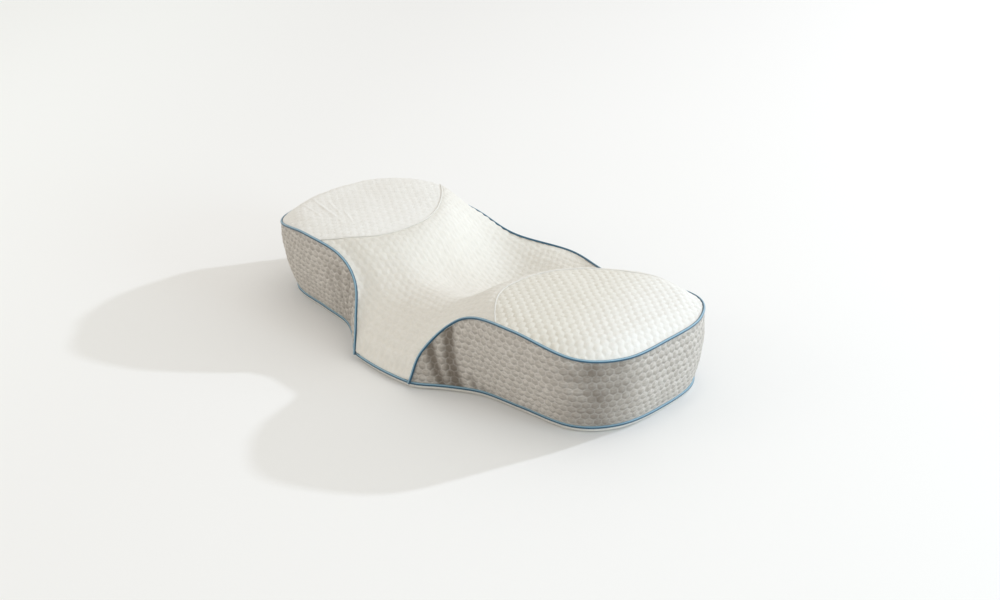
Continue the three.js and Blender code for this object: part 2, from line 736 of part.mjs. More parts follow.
// Two plates joined by a web between the halves of the coil, with flanges along both sides that leave a slit
// for the tape
function zipSlider() {
  const { length, half, web, flange } = SLIDER;
  const nose = SLIDER_X + length / 2;
  const lap = 0.2;
  const lower = sliderPlate(SLIDER_LOW.bottom, SLIDER_LOW.top);
  const upper = sliderPlate(SLIDER_HIGH.bottom, SLIDER_HIGH.top);
  const low = SLIDER_LOW.top - lap;
  const high = SLIDER_HIGH.bottom + lap;
  const block = (...ends) => solidFrom(box(...ends));
  let body = lower.add(upper).add(block(nose - length / 2, nose, ZIP_Y - web / 2, ZIP_Y + web / 2, low, high));
  for (const side of [-1, 1]) {
    const edges = [ZIP_Y + side * (half - flange), ZIP_Y + side * half];
    const near = Math.min(...edges);
    const far = Math.max(...edges);
    const x0 = SLIDER_X + 0.1 * length;
    body = body.add(block(x0, nose, near, far, low, TAPE_COIL_Z - GAP));
    body = body.add(block(x0, nose, near, far, TAPE_COIL_Z + TAPE_THICK + GAP, high));
  }
  return geometryFrom(body.add(bridge()));
}

// Small arch under the slider that holds the pull tab
const PIVOT_X = SLIDER_X - 1.5;
function bridge() {
  const { length, width, low, bar, leg } = BRIDGE;
  const front = PIVOT_X + length / 2;
  const rear = PIVOT_X - length / 2;
  const lap = 0.2;
  const part = (x0, x1, top) => solidFrom(box(x0, x1, ZIP_Y - width / 2, ZIP_Y + width / 2, low, top));
  const root = SLIDER_LOW.bottom + lap;
  return part(rear, front, low + bar)
    .add(part(front - leg, front, root))
    .add(part(rear, rear + leg, root));
}

// Flat tab whose end bar turns under the arch; it lies along the zip
function zipPullTab() {
  const { length, half, thick, middle, bar, round, taper } = TAB;
  const start = PIVOT_X + bar / 2;
  const end = start - length;
  const shape = new THREE.Shape();
  shape.moveTo(start, -half + taper);
  shape.lineTo(start, half - taper);
  shape.lineTo(end + round, half);
  shape.absarc(end + round, half - round, round, Math.PI / 2, Math.PI, false);
  shape.absarc(end + round, -half + round, round, Math.PI, 1.5 * Math.PI, false);
  shape.lineTo(start, -half + taper);
  const eyeHalf = BRIDGE.width / 2 + 2 * GAP;
  const eyeEnd = PIVOT_X - BRIDGE.length / 2 - 2 * GAP;
  const eye = new THREE.Path();
  eye.moveTo(start - bar, -eyeHalf);
  eye.lineTo(eyeEnd, -eyeHalf);
  eye.lineTo(eyeEnd, eyeHalf);
  eye.lineTo(start - bar, eyeHalf);
  shape.holes.push(eye);
  const geometry = new THREE.ExtrudeGeometry(shape, { depth: thick, bevelEnabled: false, curveSegments: 4 });
  return geometry.translate(0, ZIP_Y, middle - thick / 2);
}

// ---------------------------------------------------------------- assembly
const pillow = new THREE.Group();
pillow.name = "contour_pillow";

function place(name, geometry, materialName) {
  const mesh = new THREE.Mesh(geometry, material(materialName));
  mesh.name = name;
  pillow.add(mesh);
}

place("foam_core", foamCore(), "foam");
place("liner_top", liner(true), "liner");
place("liner_bottom", liner(false), "liner");
place("centre_panel", centrePanel(), "whiteKnit");
for (const [word, side] of [
  ["left", -1],
  ["right", 1],
]) {
  place(`${word}_wing_panel`, wingPanel(side), "padKnit");
  place(`${word}_pad_seam`, padSeamCord(side), "whiteKnit");
  place(`${word}_gusset`, gusset(side), "greyKnit");
}
place("bottom_panel_front", bottomPanel(-1), "bottomKnit");
place("bottom_panel_back", bottomPanel(1), "bottomKnit");
place("upper_piping", upperPiping(), "bluePiping");
place("lower_piping", lowerPiping(), "bluePiping");
for (const [word, side] of [
  ["front", -1],
  ["back", 1],
]) {
  place(`zip_tape_${word}`, cleaned(zipTape(side)), "zipTape");
  place(`zip_coil_${word}`, cleaned(zipCoil(side)), "zipCoil");
}
place("zip_stop_closed", zipStop(ZIP_CLOSED_X, 1), "zipMetal");
place("zip_stop_open", zipStop(ZIP_OPEN_X, -1), "zipMetal");
place("zip_slider", zipSlider(), "zipMetal");
place("zip_pull_tab", zipPullTab(), "zipMetal");

export default pillow;
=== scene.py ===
"""Looks of the contour neck pillow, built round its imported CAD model.

The scene is in metres. Shape functions work in millimetres, in the CAD frame: +X to the right wing, +Y to the
back edge, +Z up, and the seams and heights are the ones that the CAD source is built from.
"""

import math

import bpy
import numpy as np
from mathutils import Matrix, Vector


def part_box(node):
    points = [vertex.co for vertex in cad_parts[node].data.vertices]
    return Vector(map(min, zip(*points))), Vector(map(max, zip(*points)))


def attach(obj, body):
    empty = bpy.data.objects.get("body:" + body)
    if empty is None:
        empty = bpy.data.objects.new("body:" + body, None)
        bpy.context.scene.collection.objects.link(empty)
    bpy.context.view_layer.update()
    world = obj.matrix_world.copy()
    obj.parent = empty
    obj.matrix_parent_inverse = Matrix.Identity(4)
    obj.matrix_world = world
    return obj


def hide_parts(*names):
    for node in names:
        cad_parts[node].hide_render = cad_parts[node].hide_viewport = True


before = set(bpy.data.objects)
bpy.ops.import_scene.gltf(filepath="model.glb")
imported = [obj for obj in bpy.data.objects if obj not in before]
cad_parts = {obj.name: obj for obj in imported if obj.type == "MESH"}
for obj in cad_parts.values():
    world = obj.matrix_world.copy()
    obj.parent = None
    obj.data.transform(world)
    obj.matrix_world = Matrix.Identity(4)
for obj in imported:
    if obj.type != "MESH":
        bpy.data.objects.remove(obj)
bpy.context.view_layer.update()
MM = 0.001

# ------------------------------------------------------------------ dimensions shared with the CAD source
SEAM_HEIGHT = 8.0
GUSSET_BULGE = 6.0
EDGE_ROLL = 30.0
FULL_SIDE = 60.0
LEAST_ROLL = 0.3
# Right half, tongue corner to the middle of the back: upper seam (x, y, z), lower seam (x, y)
SEAM_STATIONS = [
    ((51, -169, 11), (50, -167)),
    ((60, -158, 48), (61, -161)),
    ((84, -138, 84), (88, -141)),
    ((122, -132, 107), (126, -121)),
    ((188, -134, 115), (180, -113)),
    ((262, -115, 102), (250, -102)),
    ((295, -66, 97), (285, -62)),
    ((300, 0, 99), (292, 0)),
    ((290, 66, 98), (280, 72)),
    ((246, 116, 93), (230, 112)),
    ((155, 127, 83), (150, 114)),
    ((86, 136, 65), (90, 121)),
    ((0, 158, 60), (0, 145)),
]
HALF = len(SEAM_STATIONS) - 1
TONGUE_BOW = 4.0
CENTRE_PROFILE = [
    (-172, 8),
    (-162, 28),
    (-148, 47),
    (-125, 64),
    (-99, 75),
    (-77, 79),
    (-51, 71),
    (-20, 55),
    (20, 42),
    (58, 37),
    (86, 38),
    (108, 45),
    (126, 53),
    (142, 57),
    (158, 60),
]
PAD_EDGE = [
    (-138, 165),
    (-112, 137),
    (-80, 113),
    (-40, 105),
    (0, 110),
    (40, 130),
    (80, 167),
    (110, 206),
    (134, 245),
]
WING_HEIGHT, WING_X, WING_Y = 122.0, 165.0, -50.0
WING_FALL = 13.0
WING_REACH_X, WING_REACH_Y = 130.0, 150.0
HOLLOW_START = 0.14
UNDER_ROLL = [(0.3, 5.6), (1.2, 3.0), (3.2, 1.0), (8.0, 0.0)]
ZIP_Y = 35.0
SLOT_HALF = 8.0
SLOT_REACH = 205.0

# ------------------------------------------------------------------ dimensions of the looks
PIPING_RADIUS = 1.75
PIPING_SIDES = 14
SEAM_RADIUS = 1.0  # raised seam between pad and centre
RIM_SET_BACK = 2.4  # how far the tongue's sewn edge is drawn in behind the piping,
RIM_DROP = 1.6  # and how far below its corners
CELL = 9.8  # pitch of the quilted knit's cells
# Spacing of the points that carry the relief, and the span (across, along) of each panel's grid
SIDE_STEP, SIDE_SPAN = 0.95, (104, 722)
PAD_STEP, PAD_SPAN = 0.99, (200, 470)
CENTRE_STEP, CENTRE_SPAN = 1.28, (335, 455)
# About the height of the bubbles, crown to groove
SIDE_BUBBLE = 1.35
CENTRE_BUBBLE = 0.55
PAD_BUBBLE = {1: 1.0, -1: 0.45}
DRIFT = 0.45  # slow unevenness of the top's cloth
TOP_CLOTH, SIDE_CLOTH, UNDER_CLOTH = 1.6, 1.8, 1.4  # thickness of the panels
SEAM_LIFT = {1: -0.1, -1: 0.1}  # height of each pad's seam over the cloth
SPLIT_REACH = 272.0  # the two underside panels meet along the zip's line, this far to each side,
SPLIT_GAP = 0.15  # and each keeps this gap to the line
LINER_UNDER, FOAM_UNDER = 2.4, 3.5  # least depth below the cover's top
BLOCK = 20000  # points worked on at a time, to fit in memory


# ------------------------------------------------------------------ curves
def curve_through(pairs):
    """Smooth function through (position, value) pairs, straight beyond its ends."""
    x, y = np.array(pairs, float).T
    slope = np.empty(len(x))
    step = np.diff(y) / np.diff(x)
    slope[0], slope[-1] = step[0], step[-1]
    share = (x[2:] - x[1:-1]) / (x[2:] - x[:-2])
    slope[1:-1] = step[:-1] * share + step[1:] * (1 - share)

    def value(q):
        q = np.asarray(q, float)
        i = np.clip(np.searchsorted(x, q) - 1, 0, len(x) - 2)
        width = x[i + 1] - x[i]
        t = (q - x[i]) / width
        c = np.clip(t, 0, 1)
        inside = (
            (2 * c**3 - 3 * c**2 + 1) * y[i]
            + (c**3 - 2 * c**2 + c) * width * slope[i]
            + (3 * c**2 - 2 * c**3) * y[i + 1]
            + (c**3 - c**2) * width * slope[i + 1]
        )
        beyond = np.where(t > 1, (t - 1) * width * slope[-1], 0) + np.where(t < 0, t * width * slope[0], 0)
        return inside + beyond

    return value


def station_curve(stations):
    """Point at a station number, fractions included, on a smooth line through the stations."""
    p = np.array(stations, float)
    p = np.vstack([2 * p[0] - p[1], p, 2 * p[-1] - p[-2]])

    def at(t):
        t = np.asarray(t, float)
        i = np.clip(np.floor(t).astype(int), 0, len(stations) - 2)
        f = (t - i)[..., None]
        a, b, c, d = p[i], p[i + 1], p[i + 2], p[i + 3]
        return 0.5 * (
            2 * b + (c - a) * f + (2 * a - 5 * b + 4 * c - d) * f**2 + (3 * b - a - 3 * c + d) * f**3
        )

    return at


def mirrored(half):
    return half + [(-p[0], *p[1:]) for p in half[-2::-1]]


upper_seam = station_curve(mirrored([s[0] for s in SEAM_STATIONS]))
lower_seam = station_curve(mirrored([(*s[1], SEAM_HEIGHT) for s in SEAM_STATIONS]))
centre_height = curve_through(CENTRE_PROFILE)
pad_edge = curve_through(PAD_EDGE)


def smooth_step(t):
    t = np.clip(t, 0, 1)
    return t * t * (3 - 2 * t)


def length_along(points):
    return np.concatenate([[0], np.cumsum(np.linalg.norm(np.diff(points, axis=0), axis=1))])


def resampled(points, count):
    """count points evenly spaced along a polyline."""
    along = length_along(points)
    at = np.linspace(0, along[-1], count)
    return np.stack([np.interp(at, along, points[:, k]) for k in range(points.shape[1])], axis=1)


def foot_front():
    """Front edge of the tongue's foot, bowed out between its corners, without the corners themselves."""
    corner_x, corner_y = SEAM_STATIONS[0][1]
    x = np.linspace(-corner_x, corner_x, 60)
    y = corner_y - TONGUE_BOW * (1 - (x / corner_x) ** 2)
    return np.stack([x, y, np.full_like(x, SEAM_HEIGHT)], axis=1)[1:-1]


# ------------------------------------------------------------------ the shape of the top
def tongue_rim(x):
    """Sewn front edge of the tongue's top, drawn in behind the piping between its corners."""
    corner_x, corner_y, corner_z = SEAM_STATIONS[0][0]
    share = np.abs(x) / corner_x
    y = corner_y + RIM_SET_BACK * (1 - share**8) - TONGUE_BOW * (1 - share**2)
    return np.stack([x, y, corner_z - RIM_DROP + RIM_DROP * share**8], axis=-1)


# The right half's rim, run on a little past the middle; the top is worked out there and mirrored
UPPER_LINE = upper_seam(np.linspace(0, HALF + 0.4, 150))
TONGUE_TOP = tongue_rim(np.linspace(-10, SEAM_STATIONS[0][0][0], 16))


def nearest(points, line):
    """Distance in plan from each point to a polyline, in blocks that fit in memory."""
    a = line[:-1, :2].astype(np.float32)
    run = line[1:, :2].astype(np.float32) - a
    square = np.maximum((run**2).sum(1), 1e-9)
    found = np.empty(len(points))
    for k in range(0, len(points), BLOCK):
        rel = points[k : k + BLOCK, None, :].astype(np.float32) - a[None]
        t = np.clip((rel * run).sum(2) / square, 0, 1)
        found[k : k + BLOCK] = np.sqrt(((rel - t[..., None] * run) ** 2).sum(2).min(1))
    return found


def rim_height(points):
    """Height of the rim near each plan point, smoothly weighted."""
    rim = np.vstack([UPPER_LINE[::2], TONGUE_TOP[::2]]).astype(np.float32)
    found = np.empty(len(points))
    for k in range(0, len(points), BLOCK):
        away = np.sqrt(((points[k : k + BLOCK, None, :].astype(np.float32) - rim[None, :, :2]) ** 2).sum(2))
        weight = 1 / (away + 2) ** 4
        found[k : k + BLOCK] = (weight * rim[None, :, 2]).sum(1) / weight.sum(1)
    return found


def inner_height(x, y):
    """The top well inside its rim: tongue, neck roll, hollow and wings."""
    wing = (
        WING_HEIGHT
        - WING_FALL * ((y - WING_Y) / WING_REACH_Y) ** 2
        - WING_FALL * ((np.abs(x) - WING_X) / WING_REACH_X) ** 2
    )
    share = (np.abs(x) / pad_edge(y) - HOLLOW_START) / (1 - HOLLOW_START)
    centre = centre_height(y)
    return centre + (wing - centre) * smooth_step(share)


def top_height(x, y):
    """(height, distance to the rim) at plan points of the right half."""
    flat = np.stack([x.ravel(), y.ravel()], axis=1)
    rim = rim_height(flat)
    width = EDGE_ROLL * np.clip((rim - SEAM_HEIGHT) / FULL_SIDE, LEAST_ROLL, 1)
    away = [nearest(flat, line) for line in (UPPER_LINE, TONGUE_TOP)]
    roll = 1.0
    for distance in away:
        roll = roll * np.sin(np.clip(distance / width, 0, 1) * math.pi / 2) ** 0.8
    z = rim + (inner_height(flat[:, 0], flat[:, 1]) - rim) * roll
    return z.reshape(x.shape), np.minimum(*away).reshape(x.shape)


def plump(x, y, to_rim):
    """The left wing stands a little fuller behind and at its tip than the right one."""
    swell = 8.0 * np.exp(-(((x + 215) / 92) ** 2) - ((y - 78) / 58) ** 2)
    swell = swell + 4.0 * np.exp(-(((x + 130) / 34) ** 2) - ((y - 112) / 26) ** 2)
    tip = 5.0 * np.exp(-(((x + 290) / 34) ** 2) - ((y - 8) / 78) ** 2)
    return swell * np.sqrt(np.clip(to_rim / 18, 0, 1)) + tip * np.sqrt(np.clip(to_rim / 7, 0, 1))


# ------------------------------------------------------------------ relief
def waves(a, b, scale, seed):
    """Soft bumps of about the given wavelength in millimetres, mostly between -1 and 1."""
    rng = np.random.default_rng(seed)
    total = np.zeros(np.shape(a))
    for _ in range(7):
        angle, phase = rng.uniform(0, 2 * math.pi, 2)
        k = 2 * math.pi / (scale * rng.uniform(0.7, 1.5))
        total += np.sin(k * (a * math.cos(angle) + b * math.sin(angle)) + phase)
    return total / 4


def warped(a, b, seed, amount=0.9):
    """Fabric coordinates with the slight drift that stretched cloth has."""
    return a + amount * waves(a, b, 70, seed), b + amount * waves(a, b, 60, seed + 1)


def cell_dome(a, b):
    """Height from 0 in the grooves to about 1 in the middle of each six-sided cell, in rows that run along a."""
    p = np.stack([a, b], axis=-1) / CELL
    size = np.array([1.0, math.sqrt(3)])
    one = np.mod(p, size) - size / 2
    two = np.mod(p - size / 2, size) - size / 2
    near = np.where(((one**2).sum(-1) < (two**2).sum(-1))[..., None], one, two)
    x, y = np.abs(near[..., 0]), np.abs(near[..., 1])
    edge = 2 * np.maximum(x, 0.5 * x + math.sqrt(3) / 2 * y)
    radius = 2 * np.hypot(x, y)
    across = np.clip(0.6 * edge + 0.4 * radius, 0, 1.05)
    centre = np.round((p - near) * 4).astype(int)
    lot = np.mod(np.sin(centre[..., 0] * 12.9898 + centre[..., 1] * 78.233) * 43758.5453, 1)
    return (1 - across**2) * (0.8 + 0.4 * lot)


def ridge(x, y, start, end, width, height):
    """A crease's profile: a ridge from start to end, gone at both ends, with a hollow on each side."""
    start, end = np.array(start, float), np.array(end, float)
    run = end - start
    t = ((x - start[0]) * run[0] + (y - start[1]) * run[1]) / (run @ run)
    side = ((x - start[0]) * run[1] - (y - start[1]) * run[0]) / np.linalg.norm(run)
    ends = smooth_step(t / 0.3) * smooth_step((1 - t) / 0.3)
    q = side / width
    return height * ends * (1 - 0.9 * q * q) * np.exp(-q * q)


def mesh_object(name, points, polygons, material, uv=None, shade=None):
    """polygons is a list of index arrays (n, k), one per polygon size k. uv and shade have a row per point."""
    mesh = bpy.data.meshes.new(name)
    mesh.vertices.add(len(points))
    mesh.vertices.foreach_set("co", (np.asarray(points) * MM).astype(np.float32).ravel())
    loops = np.concatenate([p.ravel() for p in polygons]).astype(np.int32)
    sizes = np.concatenate([np.full(len(p), p.shape[1]) for p in polygons])
    starts = np.concatenate([[0], np.cumsum(sizes)[:-1]]).astype(np.int32)
    mesh.loops.add(len(loops))
    mesh.loops.foreach_set("vertex_index", loops)
    mesh.polygons.add(len(sizes))
    mesh.polygons.foreach_set("loop_start", starts)
    mesh.update(calc_edges=True)
    if uv is not None:
        layer = mesh.uv_layers.new(name="fabric")
        layer.data.foreach_set("uv", np.asarray(uv)[loops].astype(np.float32).ravel())
    if shade is not None:
        mesh.attributes.new("shade", "FLOAT", "POINT").data.foreach_set("value", shade.astype(np.float32))
    mesh.polygons.foreach_set("use_smooth", np.ones(len(sizes), bool))
    obj = bpy.data.objects.new(name, mesh)
    bpy.context.scene.collection.objects.link(obj)
    mesh.materials.append(material)
    return obj


def grid_quads(rows, columns, start=0, closed=False):
    i = np.arange(rows - 1)[:, None]
    j = np.arange(columns if closed else columns - 1)[None]
    after = (j + 1) % columns
    here, below = i * columns, (i + 1) * columns
    quads = np.stack([here + j, here + after, below + after, below + j], -1)
    return quads.reshape(-1, 4) + start


def grid_size(span, step):
    """(rows, columns) of a grid with that span and about that step."""
    return [round(length / step) for length in span]


def grid_normals(points):
    down = np.gradient(points, axis=0)
    across = np.gradient(points, axis=1)
    normal = np.cross(across, down)
    return normal / np.maximum(np.linalg.norm(normal, axis=-1, keepdims=True), 1e-9)


def fabric_shell(name, base, relief, fabric, material, thickness, coarse=6, shade=None):
    """A panel of thick cloth: a fine outer face with relief over a plain inner face, closed round its edge.
    base is a grid (rows, columns, 3) whose rows cross columns so that its normals point out."""
    rows, columns = base.shape[:2]
    if shade is None:
        shade = np.zeros((rows, columns))
    normal = grid_normals(base)
    outer = base + normal * relief[..., None]
    ri = np.unique(np.append(np.arange(0, rows, coarse), rows - 1))
    ci = np.unique(np.append(np.arange(0, columns, coarse), columns - 1))
    inner = (base - normal * thickness)[np.ix_(ri, ci)]
    first = rows * columns
    index = np.arange(first).reshape(rows, columns)
    inside = first + np.arange(inner.shape[0] * inner.shape[1]).reshape(inner.shape[:2])
    groups = {4: [grid_quads(rows, columns)]}
    flipped = grid_quads(inner.shape[0], inner.shape[1], first)[:, ::-1]
    groups[4].append(flipped)

    def wall(outer_line, inner_line, picks, reverse):
        for k in range(len(picks) - 1):
            part = list(outer_line[picks[k] : picks[k + 1] + 1])
            loop = [*part[::-1], inner_line[k], inner_line[k + 1]]
            if reverse:
                loop = loop[::-1]
            groups.setdefault(len(loop), []).append(np.array([loop]))

    wall(index[0], inside[0], ci, False)
    wall(index[-1], inside[-1], ci, True)
    wall(index[:, 0], inside[:, 0], ri, True)
    wall(index[:, -1], inside[:, -1], ri, False)
    points = np.vstack([outer.reshape(-1, 3), inner.reshape(-1, 3)])
    uv = np.vstack([fabric.reshape(-1, 2), fabric[np.ix_(ri, ci)].reshape(-1, 2)]) / 10
    polygons = [np.vstack(group) for _, group in sorted(groups.items())]
    # painted shade for each point, kept in the shade attribute
    depth = np.concatenate([shade.ravel(), shade[np.ix_(ri, ci)].ravel()])
    piece = mesh_object(name, points, polygons, material, uv, depth)
    return piece


def tube(name, line, radius, material, sides=10, closed=False, squash=1.0):
    """Round cord along a line of points. Its fabric coordinates are the length along it and the share of a
    turn round it, from the side that is sewn in, by way of its underside, to its top."""
    before = np.roll(line, 1, axis=0)
    after = np.roll(line, -1, axis=0)
    if not closed:
        before[0], after[-1] = line[0], line[-1]
    run = after - before
    run /= np.linalg.norm(run, axis=1, keepdims=True)
    flat = np.stack([run[:, 1], -run[:, 0], np.zeros(len(run))], axis=1)
    flat /= np.linalg.norm(flat, axis=1, keepdims=True)
    upright = np.cross(flat, run)
    angle = math.pi + np.linspace(0, 2 * math.pi, sides, endpoint=False)
    radius = np.broadcast_to(np.asarray(radius, float), (len(line),))
    aside, above = np.cos(angle)[None, :, None], np.sin(angle)[None, :, None]
    arm = flat[:, None] * aside + upright[:, None] * above * squash
    points = line[:, None] + arm * radius[:, None, None]
    quads = grid_quads(len(line), sides, closed=True)
    if closed:
        last = (len(line) - 1) * sides
        j = np.arange(sides)
        after_j = (j + 1) % sides
        quads = np.vstack([quads, np.stack([last + j, last + after_j, after_j, j], -1)])
    polygons = [quads]
    if not closed:
        polygons.append(np.array([np.arange(sides)[::-1], (len(line) - 1) * sides + np.arange(sides)]))
    along = length_along(line)
    uv = np.broadcast_arrays(along[:, None] / 10, np.arange(sides)[None] / sides)
    return mesh_object(name, points.reshape(-1, 3), polygons, material, np.stack(uv, axis=-1).reshape(-1, 2))


# ------------------------------------------------------------------ node materials
class Shader:
    def __init__(self, name, roughness, **constants):
        self.material = bpy.data.materials.new(name)
        self.material.use_nodes = True
        self.tree = self.material.node_tree
        self.surface = self.tree.nodes["Principled BSDF"]
        self.surface.inputs["Roughness"].default_value = roughness
        for socket, value in constants.items():
            self.surface.inputs[socket.replace("_", " ")].default_value = value

    def node(self, kind, inputs=(), **settings):
        made = self.tree.nodes.new(kind)
        for key, value in settings.items():
            setattr(made, key, value)
        for key, value in dict(inputs).items():
            if isinstance(value, bpy.types.NodeSocket):
                self.tree.links.new(value, made.inputs[key])
            else:
                made.inputs[key].default_value = value
        return made

    def math(self, operation, a, b=0.0):
        return self.node("ShaderNodeMath", {0: a, 1: b}, operation=operation).outputs[0]

    def vector(self, operation, a, b=(0, 0, 0), output=0):
        return self.node("ShaderNodeVectorMath", {0: a, 1: b}, operation=operation).outputs[output]

    def noise(self, vector, scale, detail=2.0, roughness=0.5):
        inputs = {"Vector": vector, "Scale": scale, "Detail": detail, "Roughness": roughness}
        return self.node("ShaderNodeTexNoise", inputs).outputs["Fac"]

    def ramp(self, factor, low, high, out_low=0.0, out_high=1.0):
        inputs = {"Value": factor, "From Min": low, "From Max": high, "To Min": out_low, "To Max": out_high}
        return self.node("ShaderNodeMapRange", inputs, interpolation_type="SMOOTHSTEP").outputs[0]

    def mix(self, factor, a, b):
        made = self.node("ShaderNodeMix", data_type="RGBA")
        for key, value in ((0, factor), (6, a), (7, b)):
            if isinstance(value, bpy.types.NodeSocket):
                self.tree.links.new(value, made.inputs[key])
            else:
                made.inputs[key].default_value = value if key == 0 else (*value, 1)
        return made.outputs[2]

    def fabric(self):
        """Fabric coordinates in centimetres."""
        return self.node("ShaderNodeUVMap", uv_map="fabric").outputs["UV"]

    def place(self):
        return self.node("ShaderNodeTexCoord").outputs["Object"]

    def cells(self, uv):
        """(distance from the cell's edge, 0 to 0.5; place in the cell from its lower to its upper side, -0.5
        to 0.5; a number for each cell) of the quilted knit."""
        size = (1.0, math.sqrt(3), 1.0)
        half = tuple(0.5 * v for v in size)
        p = self.vector("MULTIPLY", uv, (10 / CELL, 10 / CELL, 0))

        def folded(v):
            share = self.vector("FRACTION", self.vector("DIVIDE", v, size))
            return self.vector("SUBTRACT", self.vector("MULTIPLY", share, size), (half[0], half[1], 0))

        one = folded(p)
        two = folded(self.vector("SUBTRACT", p, (half[0], half[1], 0)))
        reach = [self.vector("LENGTH", v, output=1) for v in (one, two)]
        nearer = self.math("LESS_THAN", *reach)
        made = self.node("ShaderNodeMix", data_type="VECTOR")
        for key, value in ((0, nearer), (4, two), (5, one)):
            self.tree.links.new(value, made.inputs[key])
        near = made.outputs[1]
        signed = self.node("ShaderNodeSeparateXYZ", {0: near})
        parts = self.node("ShaderNodeSeparateXYZ", {0: self.vector("ABSOLUTE", near)})
        x, y = parts.outputs[0], parts.outputs[1]
        slant = self.math("ADD", self.math("MULTIPLY", x, 0.5), self.math("MULTIPLY", y, math.sqrt(3) / 2))
        edge = self.math("SUBTRACT", 0.5, self.math("MAXIMUM", x, slant))
        centre = self.vector("ADD", self.vector("SUBTRACT", p, near), (0.3, 0.3, 0))
        number = self.node("ShaderNodeTexWhiteNoise", {"Vector": centre}, noise_dimensions="2D")
        return edge, signed.outputs[1], number.outputs["Value"]

    def half_waves(self, value):
        """From 0 to 1 and back to 0 over each whole step of the value."""
        return self.math("SINE", self.math("MULTIPLY", self.math("FRACT", value), math.pi))

    def stitches(self, uv, across, along):
        """Columns of small V-shaped knit stitches, as a height from 0 to 1."""
        parts = self.node("ShaderNodeSeparateXYZ", {0: uv})
        column = self.math("FRACT", self.math("MULTIPLY", parts.outputs[0], 10 / across))
        lean = self.math("ABSOLUTE", self.math("SUBTRACT", column, 0.5))
        row = self.math("MULTIPLY", parts.outputs[1], 10 / along)
        loop = self.half_waves(self.math("ADD", row, self.math("MULTIPLY", lean, 1.2)))
        wale = self.math("SINE", self.math("MULTIPLY", lean, 2 * math.pi))
        return self.math("MULTIPLY", loop, self.math("ADD", self.math("MULTIPLY", wale, 0.6), 0.4))

    def finish(self, colour, height=None, depth=0.0):
        """Sets the surface's colour, and a bump that is depth (m) high where the height is 1."""
        self.tree.links.new(colour, self.surface.inputs["Base Color"])
        if height is not None:
            inputs = {"Height": height, "Distance": depth, "Strength": 1.0}
            bump = self.node("ShaderNodeBump", inputs).outputs[0]
            self.tree.links.new(bump, self.surface.inputs["Normal"])
        return self.material


def quilted_knit(name, thread, groove, hollow, depth, tone=None, line_strength=0.8, underside_shade=0.0, grain=0.12):
    """Double-knit with a net of stitched lines round small six-sided bubbles. Its shade attribute is painted
    shade:
    it mixes the colour towards hollow, the dark colour that the yarn's marks also take. tone is a second colour
    that the bubbles take in slow patches. The argument before grain sets a painted shade on each bubble's lower
    side, as if lit from above. grain is how strong the yarn's upright marks are."""
    s = Shader(name, 0.9, Sheen_Weight=0.12, Sheen_Roughness=0.55, Specular_IOR_Level=0.2)
    uv = s.fabric()
    edge, place, number = s.cells(uv)
    worn = s.ramp(s.noise(uv, 1.7, 3.0, 0.6), 0.35, 0.6, 0.35, 1.0)
    net = s.math("MULTIPLY", s.ramp(edge, 0.02, 0.15, 1.0, 0.0), worn)
    knit = s.stitches(uv, 0.85, 0.7)
    patchy = s.noise(uv, 0.3, 3.0)
    tint = s.math("ADD", s.math("MULTIPLY", number, 0.5), s.math("MULTIPLY", patchy, 0.5))
    body = s.mix(tint, thread, tone or tuple(0.95 * c for c in thread))
    fuzz = s.noise(uv, 9.0, 3.0, 0.7)
    body = s.mix(s.math("MULTIPLY", fuzz, 0.4), body, tuple(0.84 * c for c in thread))
    yarn = s.ramp(s.noise(s.vector("MULTIPLY", uv, (0.4, 1.0, 1.0)), 3.6, 3.0, 0.65), 0.36, 0.64, 0.0, 1.0)
    body = s.mix(s.math("MULTIPLY", yarn, grain), body, hollow)
    # painted shade: each bubble's lower side is painted darker, as if lit from above
    lower = s.ramp(place, -0.52, 0.30, underside_shade, 0.0)
    body = s.mix(lower, body, hollow)
    # painted shade from the shade attribute: the colour and the net's lines are mixed towards hollow
    painted_shade = s.node("ShaderNodeAttribute", attribute_name="shade").outputs["Fac"]
    body = s.mix(painted_shade, body, hollow)
    line = s.mix(s.math("MULTIPLY", painted_shade, 0.75), groove, hollow)
    colour = s.mix(s.math("MULTIPLY", net, line_strength), body, line)
    raised = s.math("MULTIPLY", s.math("SUBTRACT", fuzz, yarn), 0.5)
    return s.finish(colour, s.math("ADD", s.math("MULTIPLY", knit, 0.4), raised), depth)


def plain_knit(name, thread, shade, depth=0.00025):
    s = Shader(name, 0.9, Sheen_Weight=0.12, Sheen_Roughness=0.6, Specular_IOR_Level=0.2)
    uv = s.fabric()
    knit = s.stitches(uv, 1.1, 0.9)
    patchy = s.noise(uv, 0.5, 4.0)
    fuzz = s.noise(uv, 12.0, 2.0, 0.6)
    blend = s.math("ADD", patchy, s.math("MULTIPLY", knit, 0.5))
    colour = s.mix(s.math("MULTIPLY", blend, 0.6), thread, shade)
    return s.finish(colour, s.math("ADD", knit, s.math("MULTIPLY", fuzz, 0.4)), depth)


